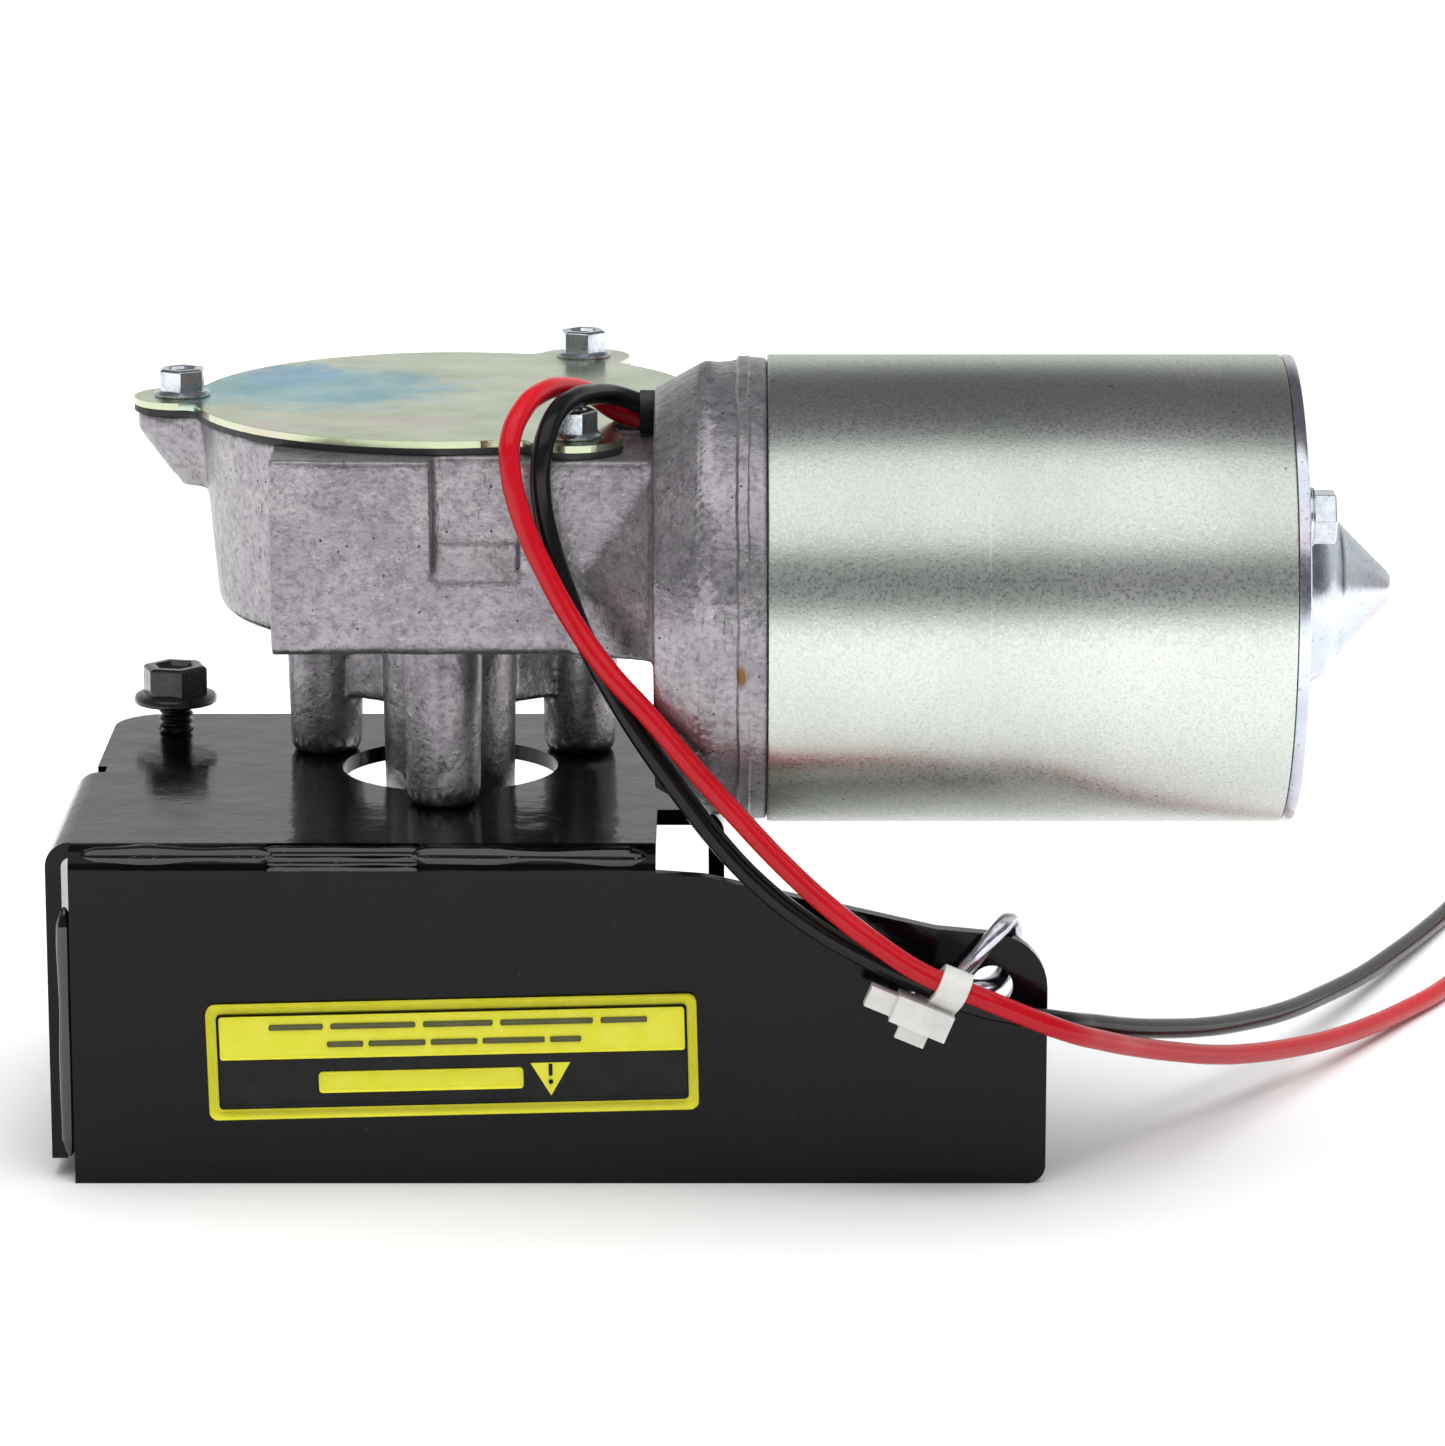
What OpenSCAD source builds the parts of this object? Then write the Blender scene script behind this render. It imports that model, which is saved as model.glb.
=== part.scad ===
// Drive unit of a chain garage door opener: a worm gear motor on a bent steel sprocket bracket.
// Pieces are drawn about the crossing of the motor axis (X) and its own height, then moved by
// place() so that the unit stands on z = 0 with its bounding box centred on the origin.

/* [Gear train] */
// Teeth on the worm wheel
wheel_teeth = 40; // [36:1:44]
// Axial module of worm and wheel
gear_module = 1.25; // [1.1:0.05:1.3]
// Pitch radius of the worm
worm_pitch_r = 5; // [4.6:0.1:5.4]
// Gap left on each side of a worm thread
backlash = 0.3; // [0.2:0.05:0.4]
// Face width of the toothed ring
wheel_face = 9; // [7:0.5:9.5]
// Length of the worm
worm_len = 24; // [18:1:27]
// Radius of the output shaft
output_shaft_r = 6; // [5:0.25:7]
// Radial running clearance of every shaft in its bearing
running_gap = 0.03; // [0.02:0.01:0.08]

/* [Motor] */
// Outer radius of the motor tube
tube_r = 38; // [36:0.5:42]
// Wall of the motor tube
tube_wall = 2.5; // [2:0.25:3]
// Length of the motor tube
tube_len = 83.2; // [70:0.1:105]
// Thickness of the end plate's rim
end_plate_t = 2; // [1.5:0.1:2.5]
// Height of the end plate's boss and cone
end_boss_h = 16.6; // [15:0.1:18]
// Radius of the armature shaft
motor_shaft_r = 4; // [3.4:0.1:4.6]
// Radius of the armature core
core_r = 26.8; // [25:0.1:27.4]
// Air gap between core and magnets
air_gap = 0.8; // [0.5:0.1:1.2]
// Radius at which the through bolts sit
bolt_circle_r = 30; // [29.5:0.1:30.5]
// Angle of the front through bolt above the horizontal
bolt_angle = 34; // [20:1:40]

/* [Gear case] */
// Distance from the motor bell's face plane datum to the output axis
output_left = 46; // [44:0.5:52]
// Outer radius of the wheel pot at its top
pot_r = 41; // [39:0.5:42]
// Height of the pot's top face above the motor axis
pot_top = 24.2; // [22:0.1:28]
// Depth of the pot's underside below the motor axis
pot_bottom = 9; // [9:0.25:12]
// Distance from the motor axis down to the legs' feet
leg_drop = 37; // [34:0.5:44]
// Radius of a leg at its foot
leg_r = 6.1; // [5:0.1:6.6]
// Radius of the circle that the legs stand on
leg_circle_r = 25; // [22:0.5:26]
// Radius of the output boss
boss_r = 11.2; // [10.8:0.1:12]
// Length of the output boss below the legs' feet
boss_below = 7; // [4:0.5:9]
// How far the front block stands forward of the motor axis
block_front = 17; // [16.5:0.5:20]

/* [Cover] */
// Radius of the cover disc
cover_r = 42; // [40:0.5:44]
// Thickness of the cover plate
cover_t = 1.2; // [1:0.1:2]
// Thickness of the gasket
gasket_t = 1.1; // [0.8:0.1:2]
// Radius of the circle through the cover screws
ear_circle_r = 44; // [43:0.5:46]
// Radius of a cover ear
ear_r = 8; // [7:0.25:9]

/* [Bracket] */
// Sheet thickness
sheet_t = 2.6; // [2:0.1:3]
// Height of the plate's top face above the floor
plate_h = 56; // [50:0.5:70]
// Inside radius of the bends
bend_r = 1.5; // [1:0.1:2]
// Distance from the datum to the left flange's outer face
bracket_left = 109; // [107:0.5:120]
// Distance from the motor axis forward to the front flange's face
bracket_front = 26.6; // [25:0.1:28]
// Distance from the motor axis back to the plate's rear edge
bracket_rear = 68; // [62:0.5:74]
// Distance from the datum to the front flange's right end
bracket_right = 52.3; // [48:0.1:58]
// Radius of the hole round the output boss
boss_hole_r = 18.2; // [16:0.1:19]
// Radius of the ear's hole
ear_hole_r = 3.4; // [3.2:0.1:3.8]

/* [Leads] */
// Diameter of a motor lead
lead_d = 3.4; // [2.8:0.1:3.4]

/* [Hidden] */
$fn = 72;

// Gear train
wheel_pitch_r = wheel_teeth * gear_module / 2;
gear_lead = PI * gear_module;
gear_y = wheel_pitch_r + worm_pitch_r;
gear_x = -output_left;
tooth_add = 0.8 * gear_module;
tooth_ded = gear_module;
lead_angle_tan = gear_lead / (2 * PI * worm_pitch_r);
pressure_angle = 20;
worm_root_r = worm_pitch_r - tooth_ded;
worm_tip_r = worm_pitch_r + tooth_add;
worm_bore_r = 2.5;
tunnel_r = worm_tip_r + 0.8;
wheel_tip_r = wheel_pitch_r + tooth_add;
cavity_r = wheel_tip_r + 5;
cavity_floor = -(wheel_face / 2 + 1.5);
washer_t = 0.8;
hub_bottom = cavity_floor + washer_t + 0.05;
hub_r = 13;
bush_wall = 2.4;
bush_outer_r = output_shaft_r + running_gap + bush_wall;
bush_len = 14;
hub_top = pot_top - 1.2;

// Motor bell and tube, along X
bell_face_x = -11;
bell_face_r = 32.5;
bell_cone_x = -2.9;
bell_cone_r = tube_r - 1;
bell_rim_x = 7.2;
bell_wall = 4;
tube_end_x = bell_rim_x + tube_len;
plate_face_x = tube_end_x + end_plate_t;
tip_x = plate_face_x + end_boss_h;
tube_inner_r = tube_r - tube_wall;
bearing_outer_r = 11;
bearing_x = -8;
bearing_len = 7;
seat_gap = 0.02;
hub_wall = 3;
core_x = bell_rim_x + 17;
core_len = tube_len - 36;
commutator_x = bell_rim_x - 3;
commutator_len = 13;
commutator_r = 11;
slot_count = 12;
slot_r = 2.6;
slot_circle_r = core_r - slot_r - 0.8;
card_x = bell_rim_x + 0.8;
card_t = 2;
brush_w = 5;
brush_len = 10;
magnet_inner_r = core_r + air_gap;
magnet_span = 124;
bolt_r = 2;
rear_bush_r = 6.4;
rear_bush_len = 7;
rear_bush_x = plate_face_x + 1.5;

// Worm shaft, left of the bell
worm_x = gear_x - worm_len / 2;
worm_shaft_end = worm_x - 1.5;
ball_r = 2.5;
pad_t = 2.5;
tunnel_end_x = worm_shaft_end - 2 * ball_r - pad_t - 0.1;
shaft_step_x = worm_x + worm_len;
shaft_rear_x = rear_bush_x + rear_bush_len - 0.5;

// Screws
m4_r = 1.95;
m4_bore_r = 2;
cover_screw_depth = 12;
leg_screw_depth = 14;
screw_angles = [180, 60, -60];
leg_angles = [-90, 30, 150];

// Stand and place
plate_drop = max(leg_drop, tube_r - 1);
axis_h = plate_drop + plate_h;
plate_top = -plate_drop;
ear_back = gear_y + ear_circle_r * sin(60) + ear_r;
mid_x = (tip_x - bracket_left) / 2;
mid_y = (max(ear_back, bracket_rear) - tube_r) / 2;

// Bracket
bend_out = bend_r + sheet_t;
floor_z = -axis_h;
left_lift = 3;
notch_left = -10.7;
notch_rear = -1;
wall_right = 0.3;
rear_corner_r = 9;
wall_rear = bracket_rear - rear_corner_r - 3;
slit_front = 25;
slit_rear = 29;
rear_left_x = -bracket_left + 3.5;
bend_slot = [-73.3, -48.7];
flange_screw_at = [-94.7, 57];
flange_screw_r = 2.95;
shoulder_z = plate_top - 14.2;
ear_hole_at = [bracket_right - 9, shoulder_z - 8.6];
ear_corner_r = 9;
foot_corner_r = 3;

// Leads, in the placed frame
lead_r = lead_d / 2;
lead_apart = 3.8;
neck_r = 2.6;
grommet_face_x = bell_face_x - 2.4;
grommet_at = [5.05, 28.2];
plug_turn = 75;
plug_axis = [cos(plug_turn), sin(plug_turn), 0];
red_route = [
  [-13.4, -12.9, 119.7], [-17.2, -13.1, 121.2], [-21, -16.2, 124.4], [-25, -23.3, 126.9],
  [-29, -32.3, 127.6], [-31.8, -38.6, 125.8], [-33.5, -42.2, 122], [-33.5, -43.3, 117],
  [-31.7, -44, 109.5], [-28, -45.2, 101], [-23.5, -46.6, 93], [-18, -48.8, 85.7],
  [-11.5, -50.5, 78.8], [-5, -51.5, 71.2], [2, -52.3, 63.4], [9.5, -53.4, 55.5],
  [17, -54.6, 48.7], [24.5, -55.4, 42.9], [32.1, -55.5, 37.9], [41.3, -55.5, 34],
  [47.5, -54.2, 31], [54.8, -51.8, 27.5], [61.7, -43.5, 23.4], [68, -33.2, 19.3],
  [75, -23, 15.5], [82, -12.7, 12], [89.5, -1.6, 9], [97.5, 10.3, 6.5],
  [105.6, 22.7, 4.5], [113.5, 35.7, 3.1], [121, 48.7, 2.2], [128, 61, 1.8],
  [134.3, 74.3, 1.8], [139.8, 88, 1.8], [144.5, 102.5, 1.8], [148.7, 117, 1.8],
  [152.2, 131, 2.3], [155, 144.5, 3], [157.4, 157.3, 3.5]
];
black_route = [
  [-13.4, -15.1, 122.8], [-17.2, -17.5, 124.5], [-20.8, -23.5, 125.8], [-23.8, -30, 126.2],
  [-26.3, -35.5, 125], [-27.9, -38.8, 122], [-28.8, -40.2, 117.5], [-28.7, -40.3, 111.5],
  [-27.3, -40.8, 104.5], [-24.8, -41.8, 97], [-21.8, -43.4, 89.5], [-17.5, -45.5, 81.8],
  [-12.5, -47.4, 74], [-7, -48.3, 66.3], [-1, -49.2, 58.5], [6, -50.4, 51.2],
  [14, -51.5, 45], [22.5, -52, 40], [31.1, -52, 35.7], [40.3, -52, 31.8],
  [47, -50.5, 29.8], [54, -47.4, 27.9], [60, -39.3, 25], [66.5, -29.3, 21.5],
  [73.5, -17.7, 18], [81, -4.7, 14.5], [89, 10.3, 11.2], [97.5, 27, 8.2],
  [106, 45.6, 5.8], [114.5, 64.2, 4], [123, 84, 2.9], [131, 103.5, 2.1],
  [137.5, 120, 1.8], [143.3, 134.5, 2.3], [148.2, 147, 3], [152.5, 158.6, 3.5]
];

// The leads, their tie and connector were laid out at these four sizes, and follow when they change
laid_mid_y = 19.0526;
laid_tube_r = 38;
laid_plate_h = 56;
laid_drop = 37;
function ramp(v, low, high) = min(1, max(0, (v - low) / (high - low)));
function tied(p) = p + [
  -mid_x,
  laid_mid_y - mid_y - (tube_r - laid_tube_r) * ramp(p[2], 40, 60) * (1 - ramp(p[2], 105, 118)),
  (plate_h - laid_plate_h) * ramp(p[2], 0, 25) + (plate_drop - laid_drop) * ramp(p[2], 48, 105)
];
function tied_route(route) = [for (p = route) tied(p)];

function unit(v) = v / norm(v);
function arc(c, r, from, to, steps = 8) =
  [for (i = [0:steps]) let (a = from + (to - from) * i / steps) [c[0] + r * cos(a), c[1] + r * sin(a)]];

// Direction of a route at one of its points; the two ends take the directions given
function heading(route, i, first, last) =
  i == 0 ? first : i == len(route) - 1 ? last : unit(route[i + 1] - route[i - 1]);
function side_of(t) = unit(cross(t, abs(t[2]) > 0.9 ? [0, 1, 0] : [0, 0, 1]));

// Rings are carried along the route by projection, so that the tube never twists
function carried(route, first, last, i = 0, side = undef) =
  i == len(route) ? [] :
  let (t = heading(route, i, first, last),
       s = side == undef ? side_of(t) : unit(side - t * (side * t)))
  concat([[t, s]], carried(route, first, last, i + 1, s));

module swept_tube(route, r, sides, first, last, closed = false) {
  frames = carried(route, first, last);
  count = len(route);
  points = [for (i = [0:count - 1])
    let (s = frames[i][1], u = cross(frames[i][0], s))
    for (k = [0:sides - 1]) route[i] + r * (cos(360 * k / sides) * s + sin(360 * k / sides) * u)];
  last_ring = closed ? count - 1 : count - 2;
  faces = [for (i = [0:last_ring]) for (k = [0:sides - 1])
    let (a = i * sides, b = ((i + 1) % count) * sides, n = (k + 1) % sides)
    [a + k, b + k, b + n, a + n]];
  ends = closed ? [] : [
    [for (k = [0:sides - 1]) k],
    [for (k = [sides - 1:-1:0]) (count - 1) * sides + k]
  ];
  polyhedron(points = points, faces = concat(faces, ends));
}

module place() {
  translate([-mid_x, -mid_y, axis_h]) children();
}

module along_x(x) {
  translate([x, 0, 0]) rotate([0, 90, 0]) children();
}

// On both through bolts' axes, at the given X and pointing along it
module at_bolts(x) {
  for (s = [0, 180]) rotate([s + 90 - bolt_angle, 0, 0])
    translate([x, 0, bolt_circle_r]) rotate([0, 90, 0]) children();
}

module turned_x(profile) {
  rotate([0, 90, 0]) rotate_extrude() polygon(profile);
}

module at_output(z = 0) {
  translate([gear_x, gear_y, z]) children();
}

module ring_x(x, length, outer_r, inner_r) {
  along_x(x) difference() {
    cylinder(r = outer_r, h = length);
    translate([0, 0, -1]) cylinder(r = inner_r, h = length + 2);
  }
}

module ring_z(z, length, outer_r, inner_r) {
  at_output(z) difference() {
    cylinder(r = outer_r, h = length);
    translate([0, 0, -1]) cylinder(r = inner_r, h = length + 2);
  }
}

// Hexagon washer head screw, standing on its washer's underside and pointing down
module hex_screw(flats, hex_h, washer_r, washer_t, shank_r, shank_len) {
  cylinder(r = washer_r, h = washer_t);
  translate([0, 0, washer_t]) cylinder(d = flats / cos(30), h = hex_h, $fn = 6);
  translate([0, 0, -shank_len]) cylinder(r = shank_r, h = shank_len);
}

// A quarter bend from a level sheet, turning down towards -X of its own frame, along +Y
module bend(length) {
  rotate([-90, 0, 0]) linear_extrude(length)
    difference() {
      circle(r = bend_out);
      circle(r = bend_r);
      translate([0, -bend_out]) square(2 * bend_out);
      translate([-bend_out, 0]) square(2 * bend_out);
    }
}

module plate_outline() {
  left_in = -bracket_left + bend_out;
  front_in = -bracket_front + bend_out;
  polygon(concat(
    [[left_in, front_in], [notch_left, front_in], [notch_left, notch_rear]],
    [[wall_right - bend_out, notch_rear], [wall_right - bend_out, wall_rear]],
    arc([wall_right - bend_out - rear_corner_r, bracket_rear - rear_corner_r], rear_corner_r, 0, 90),
    arc([rear_left_x + rear_corner_r, bracket_rear - rear_corner_r], rear_corner_r, 90, 180),
    [[rear_left_x, slit_rear], [left_in + 1, slit_rear], [left_in + 1, slit_front], [left_in, slit_front]]
  ));
}

module front_flange_outline() {
  top_z = plate_top - bend_out;
  left_in = -bracket_left + bend_out;
  polygon(concat(
    [[left_in, top_z], [left_in, floor_z]],
    arc([bracket_right - foot_corner_r, floor_z + foot_corner_r], foot_corner_r, -90, 0),
    arc([bracket_right - ear_corner_r, shoulder_z - ear_corner_r], ear_corner_r, 0, 80),
    [[bracket_right - 18, shoulder_z + 0.9], [notch_left + 8, top_z - 0.6], [notch_left, top_z]]
  ));
}

module bracket() {
  top_z = plate_top - bend_out;
  color([0.06, 0.06, 0.07]) place() difference() {
    union() {
      translate([0, 0, plate_top - sheet_t]) linear_extrude(sheet_t) plate_outline();
      translate([-bracket_left + bend_out, -bracket_front + bend_out, top_z])
        bend(slit_front + bracket_front - bend_out);
      translate([-bracket_left, -bracket_front + bend_out, floor_z + left_lift])
        cube([sheet_t, slit_front + bracket_front - bend_out, axis_h - left_lift + top_z]);
      translate([notch_left, -bracket_front + bend_out, top_z])
        rotate([0, 0, 90]) bend(notch_left + bracket_left - bend_out);
      translate([0, -bracket_front + sheet_t, 0])
        rotate([90, 0, 0]) linear_extrude(sheet_t) front_flange_outline();
      translate([wall_right - bend_out, wall_rear, top_z])
        rotate([0, 0, 180]) bend(wall_rear - notch_rear);
      translate([wall_right - sheet_t, notch_rear, floor_z])
        cube([sheet_t, wall_rear - notch_rear, axis_h + top_z]);
    }
    at_output(plate_top - 2 * sheet_t) cylinder(r = boss_hole_r, h = 3 * sheet_t);
    for (a = leg_angles) at_output(plate_top - 2 * sheet_t)
      rotate(a) translate([leg_circle_r, 0, 0]) cylinder(r = m4_r + 0.3, h = 3 * sheet_t);
    translate([flange_screw_at[0], flange_screw_at[1], plate_top - 2 * sheet_t])
      cylinder(r = flange_screw_r + 0.05, h = 3 * sheet_t);
    translate([ear_hole_at[0], -bracket_front - 1, ear_hole_at[1]])
      rotate([-90, 0, 0]) cylinder(r = ear_hole_r, h = sheet_t + 2);
    translate([bend_slot[0], -bracket_front - 1, plate_top - bend_out + 0.2])
      cube([bend_slot[1] - bend_slot[0], bend_out + 0.6, bend_out]);
  }
}

module bracket_flange_screw() {
  stand_off = 4.8;
  color([0.05, 0.05, 0.05]) place()
    translate([flange_screw_at[0], flange_screw_at[1], plate_top + stand_off])
      hex_screw(10, 4.8, 7.1, 1.7, flange_screw_r, stand_off + sheet_t + 9);
}

module leg_screws() {
  color("silver") place() for (a = leg_angles)
    at_output(plate_top - sheet_t) rotate(a) translate([leg_circle_r, 0, 0]) rotate([180, 0, 0])
      hex_screw(7, 3, 4.7, 1, m4_r, sheet_t + leg_screw_depth - 1);
}

// Outline of the cover and gasket: a disc with three ears, blended, cut back round the bell and grommet
module cover_outline(grow = 0) {
  blend = 3;
  offset(r = -blend) offset(r = blend) {
    circle(r = cover_r + grow);
    for (a = screw_angles) rotate(a) translate([ear_circle_r, 0]) circle(r = ear_r + grow, $fn = 48);
  }
}

module bell_profile_solid(grow) {
  turned_x([
    [0, bell_face_x - grow], [bell_face_r + grow, bell_face_x - grow],
    [bell_cone_r + grow, bell_cone_x], [tube_r + grow, bell_cone_x + 6], [tube_r + grow, bell_rim_x + 2],
    [0, bell_rim_x + 2]
  ]);
}

module cover_blank(z, thickness) {
  fit = 0.4;
  notch_back = 4;
  notch_w = 10.4;
  difference() {
    at_output(z) linear_extrude(thickness) cover_outline();
    bell_profile_solid(fit);
    translate([grommet_face_x - notch_back, grommet_at[0] - notch_w / 2, z - 1])
      cube([notch_back + 3, notch_w, thickness + 2]);
    for (a = screw_angles) at_output(z - 1) rotate(a) translate([ear_circle_r, 0, 0])
      cylinder(r = m4_r + 0.2, h = thickness + 2);
  }
}

module cover_gasket() {
  color([0.07, 0.07, 0.07]) place() cover_blank(pot_top, gasket_t);
}

module cover_plate() {
  color([0.66, 0.7, 0.52]) place() cover_blank(pot_top + gasket_t, cover_t);
}

module cover_screws() {
  color([0.75, 0.8, 0.82]) place() for (a = screw_angles)
    at_output(pot_top + gasket_t + cover_t) rotate(a) translate([ear_circle_r, 0, 0]) rotate(a)
      hex_screw(7, 3.7, 4.7, 0.9, m4_r, gasket_t + cover_t + cover_screw_depth - 1);
}

module ear_boss(angle) {
  boss_depth = 12.5;
  at_output() rotate(angle) hull() {
    translate([ear_circle_r, 0, pot_top - 3]) cylinder(r = ear_r - 0.6, h = 3, $fn = 32);
    translate([ear_circle_r - 3.5, 0, pot_top - boss_depth]) cylinder(r = ear_r - 4, h = 1, $fn = 32);
    translate([ear_circle_r - 12, 0, pot_top - boss_depth]) cylinder(r = ear_r - 1, h = boss_depth, $fn = 32);
  }
}

// Block in front of the pot: a straight wall with a shallow recess over a sloping ledge
module front_block() {
  left_x = gear_x - 26.5;
  corner = 3;
  ledge_z = 4.5;
  recess_depth = 4.4;
  difference() {
    translate([left_x, 0, 0]) rotate([90, 0, 90]) linear_extrude(bell_face_x + 1 - left_x)
      polygon(concat(
        arc([-block_front + corner, -pot_bottom + 1 + corner], corner, 180, 270, 6),
        [[gear_y, -pot_bottom + 1], [gear_y, pot_top], [-block_front, pot_top]]
      ));
    translate([gear_x - 0.5, 0, 0]) rotate([90, 0, 90]) linear_extrude(14)
      polygon([
        [-block_front - 1, ledge_z - 0.8], [-block_front + recess_depth, ledge_z + 5],
        [-block_front + recess_depth, pot_top + 1], [-block_front - 1, pot_top + 1]
      ]);
    translate([left_x - 1, -block_front - 1, -pot_bottom]) cube([8, 1.6, pot_top + pot_bottom + 1]);
  }
}

// Gusset between the front wall and the bell's face
module bell_gusset() {
  foot = 5.5;
  back_y = -block_front + 1;
  front_y = -block_front - foot;
  left_x = bell_face_x - 13.5;
  right_x = bell_face_x + 0.5;
  low_z = -pot_bottom + 1.5;
  knee_z = 2;
  polyhedron(
    points = [
      [left_x, back_y, low_z], [right_x, back_y, low_z],
      [right_x, front_y, low_z], [left_x, -block_front, low_z],
      [left_x, -block_front, knee_z], [right_x, front_y, knee_z], [left_x, back_y, knee_z],
      [right_x, back_y, pot_top - 1], [right_x, -block_front, pot_top - 1]
    ],
    faces = [
      [0, 1, 2, 3], [3, 2, 5, 4], [4, 5, 8], [0, 3, 4, 6], [6, 4, 8, 7], [0, 6, 7, 1], [1, 7, 8, 5, 2]
    ]
  );
}

module case_solid() {
  pot_foot_r = pot_r - 2.6;
  corner = 3.5;
  at_output() rotate_extrude() polygon(concat(
    [[0, pot_top], [0, -pot_bottom]],
    arc([pot_foot_r - corner, -pot_bottom + corner], corner, -90, -4, 5),
    [[pot_r, pot_top]]
  ));
  for (a = screw_angles) ear_boss(a);
  front_block();
  bell_gusset();
  along_x(tunnel_end_x - 3) cylinder(r = tunnel_r + 2.2, h = bell_face_x - tunnel_end_x + 4);
  turned_x([
    [0, bell_face_x], [bell_face_r, bell_face_x], [bell_cone_r, bell_cone_x],
    [tube_r - 0.5, bell_cone_x + 5.8], [tube_r, bell_cone_x + 5.8], [tube_r, bell_cone_x + 7.8],
    [tube_r - 0.1, bell_cone_x + 7.8], [tube_r - 0.1, bell_rim_x], [0, bell_rim_x]
  ]);
  for (a = leg_angles) at_output(plate_top) rotate(a) translate([leg_circle_r, 0, 0]) {
    cylinder(r1 = leg_r - 0.8, r2 = leg_r, h = 1.2);
    translate([0, 0, 1.2]) cylinder(r1 = leg_r, r2 = leg_r + 0.7, h = plate_drop - pot_bottom);
  }
  at_output(plate_top - boss_below)
    cylinder(r1 = boss_r - 0.3, r2 = boss_r + 0.3, h = plate_drop - pot_bottom + boss_below + 1);
  for (a = leg_angles) at_output() rotate(a)
    translate([0, -2.5, plate_top + 10]) cube([leg_circle_r, 5, plate_drop - pot_bottom - 9]);
}

module case_hollow() {
  big = 60;
  at_output(cavity_floor) cylinder(r = cavity_r, h = big);
  at_output(plate_top - big) cylinder(r = bush_outer_r + seat_gap, h = 2 * big);
  along_x(tunnel_end_x) cylinder(r = tunnel_r, h = bearing_x - tunnel_end_x + 1);
  along_x(bearing_x) cylinder(r = bearing_outer_r + seat_gap, h = big);
  difference() {
    along_x(bell_face_x + bell_wall) cylinder(r = bell_face_r - bell_wall + 1.5, h = big);
    along_x(bell_face_x) cylinder(r = bearing_outer_r + hub_wall, h = bearing_x + bearing_len - bell_face_x);
    at_bolts(bell_face_x) cylinder(r = bolt_r + 2, h = bell_rim_x - bell_face_x - 2);
  }
  at_bolts(bell_face_x + 3) cylinder(r = bolt_r + seat_gap, h = big);
  for (a = screw_angles) at_output(pot_top - cover_screw_depth) rotate(a) translate([ear_circle_r, 0, 0])
    cylinder(r = m4_bore_r, h = big);
  for (a = leg_angles) at_output(plate_top - 1) rotate(a) translate([leg_circle_r, 0, 0])
    cylinder(r = m4_bore_r, h = leg_screw_depth + 1);
  translate([bell_face_x - 1, grommet_at[0], grommet_at[1]])
    rotate([0, 90, 0]) cylinder(r = neck_r, h = bell_wall + 2);
}

module gear_case() {
  color([0.5, 0.48, 0.52]) place() difference() {
    case_solid();
    case_hollow();
  }
}

module motor_tube() {
  color([0.62, 0.66, 0.6]) place() ring_x(bell_rim_x, tube_len, tube_r, tube_inner_r);
}

module end_plate() {
  cone_x = tip_x - 9;
  step = 0.3;
  color([0.7, 0.74, 0.78]) place() difference() {
    turned_x([
      [0, tube_end_x + step], [tube_inner_r - 2, tube_end_x + step], [tube_inner_r - 2, tube_end_x - 1.5],
      [tube_inner_r - 0.1, tube_end_x - 1.5], [tube_inner_r - 0.1, tube_end_x], [tube_r, tube_end_x],
      [tube_r, plate_face_x - 0.5], [tube_r - 0.5, plate_face_x], [16.6, plate_face_x],
      [16.2, plate_face_x + 1.6], [14.8, plate_face_x + 4.4], [12.6, plate_face_x + 6.1],
      [11, cone_x], [10.2, cone_x + 0.8], [3.4, tip_x - 1.4], [2.2, tip_x - 0.4], [0, tip_x]
    ]);
    along_x(tube_end_x - 2)
      cylinder(r = rear_bush_r + seat_gap, h = rear_bush_x + rear_bush_len - tube_end_x + 2);
    at_bolts(tube_end_x - 2) cylinder(r = bolt_r + 0.2, h = 9);
  }
}

module through_bolts() {
  color([0.78, 0.82, 0.84]) place() at_bolts(plate_face_x)
    hex_screw(7.9, 3.6, 4.9, 1, bolt_r, plate_face_x - bell_rim_x + 9);
}

module grommet() {
  neck = 2;
  lip = bell_face_x - grommet_face_x;
  end_r = 2.2;
  color([0.05, 0.05, 0.05]) place() translate([grommet_face_x, grommet_at[0], grommet_at[1]])
    rotate([0, 90, 0]) rotate(-55) {
      for (s = [-1, 1]) translate([0, lead_apart / 2 * s, 0]) cylinder(r = end_r, h = lip);
      translate([-end_r, -lead_apart / 2, 0]) cube([2 * end_r, lead_apart, lip]);
      translate([0, 0, lip]) cylinder(r = neck_r - seat_gap, h = neck);
    }
}

module magnets() {
  reach = 2 * tube_r;
  color([0.2, 0.2, 0.22]) place() for (s = [0, 180]) rotate([s - bolt_angle, 0, 0]) intersection() {
    ring_x(core_x - 2, core_len + 4, tube_inner_r - 0.02, magnet_inner_r);
    along_x(core_x - 3) linear_extrude(core_len + 6) polygon([
      [0, 0], [-reach * cos(magnet_span / 2), -reach * sin(magnet_span / 2)], [-reach, -reach * tan(35)],
      [-reach, reach * tan(35)], [-reach * cos(magnet_span / 2), reach * sin(magnet_span / 2)]
    ]);
  }
}

module armature_shaft() {
  color("silver") place() {
    along_x(worm_shaft_end) cylinder(r = worm_bore_r, h = shaft_step_x - worm_shaft_end + 1);
    along_x(shaft_step_x) cylinder(r = motor_shaft_r, h = shaft_rear_x - shaft_step_x);
  }
}

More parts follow.
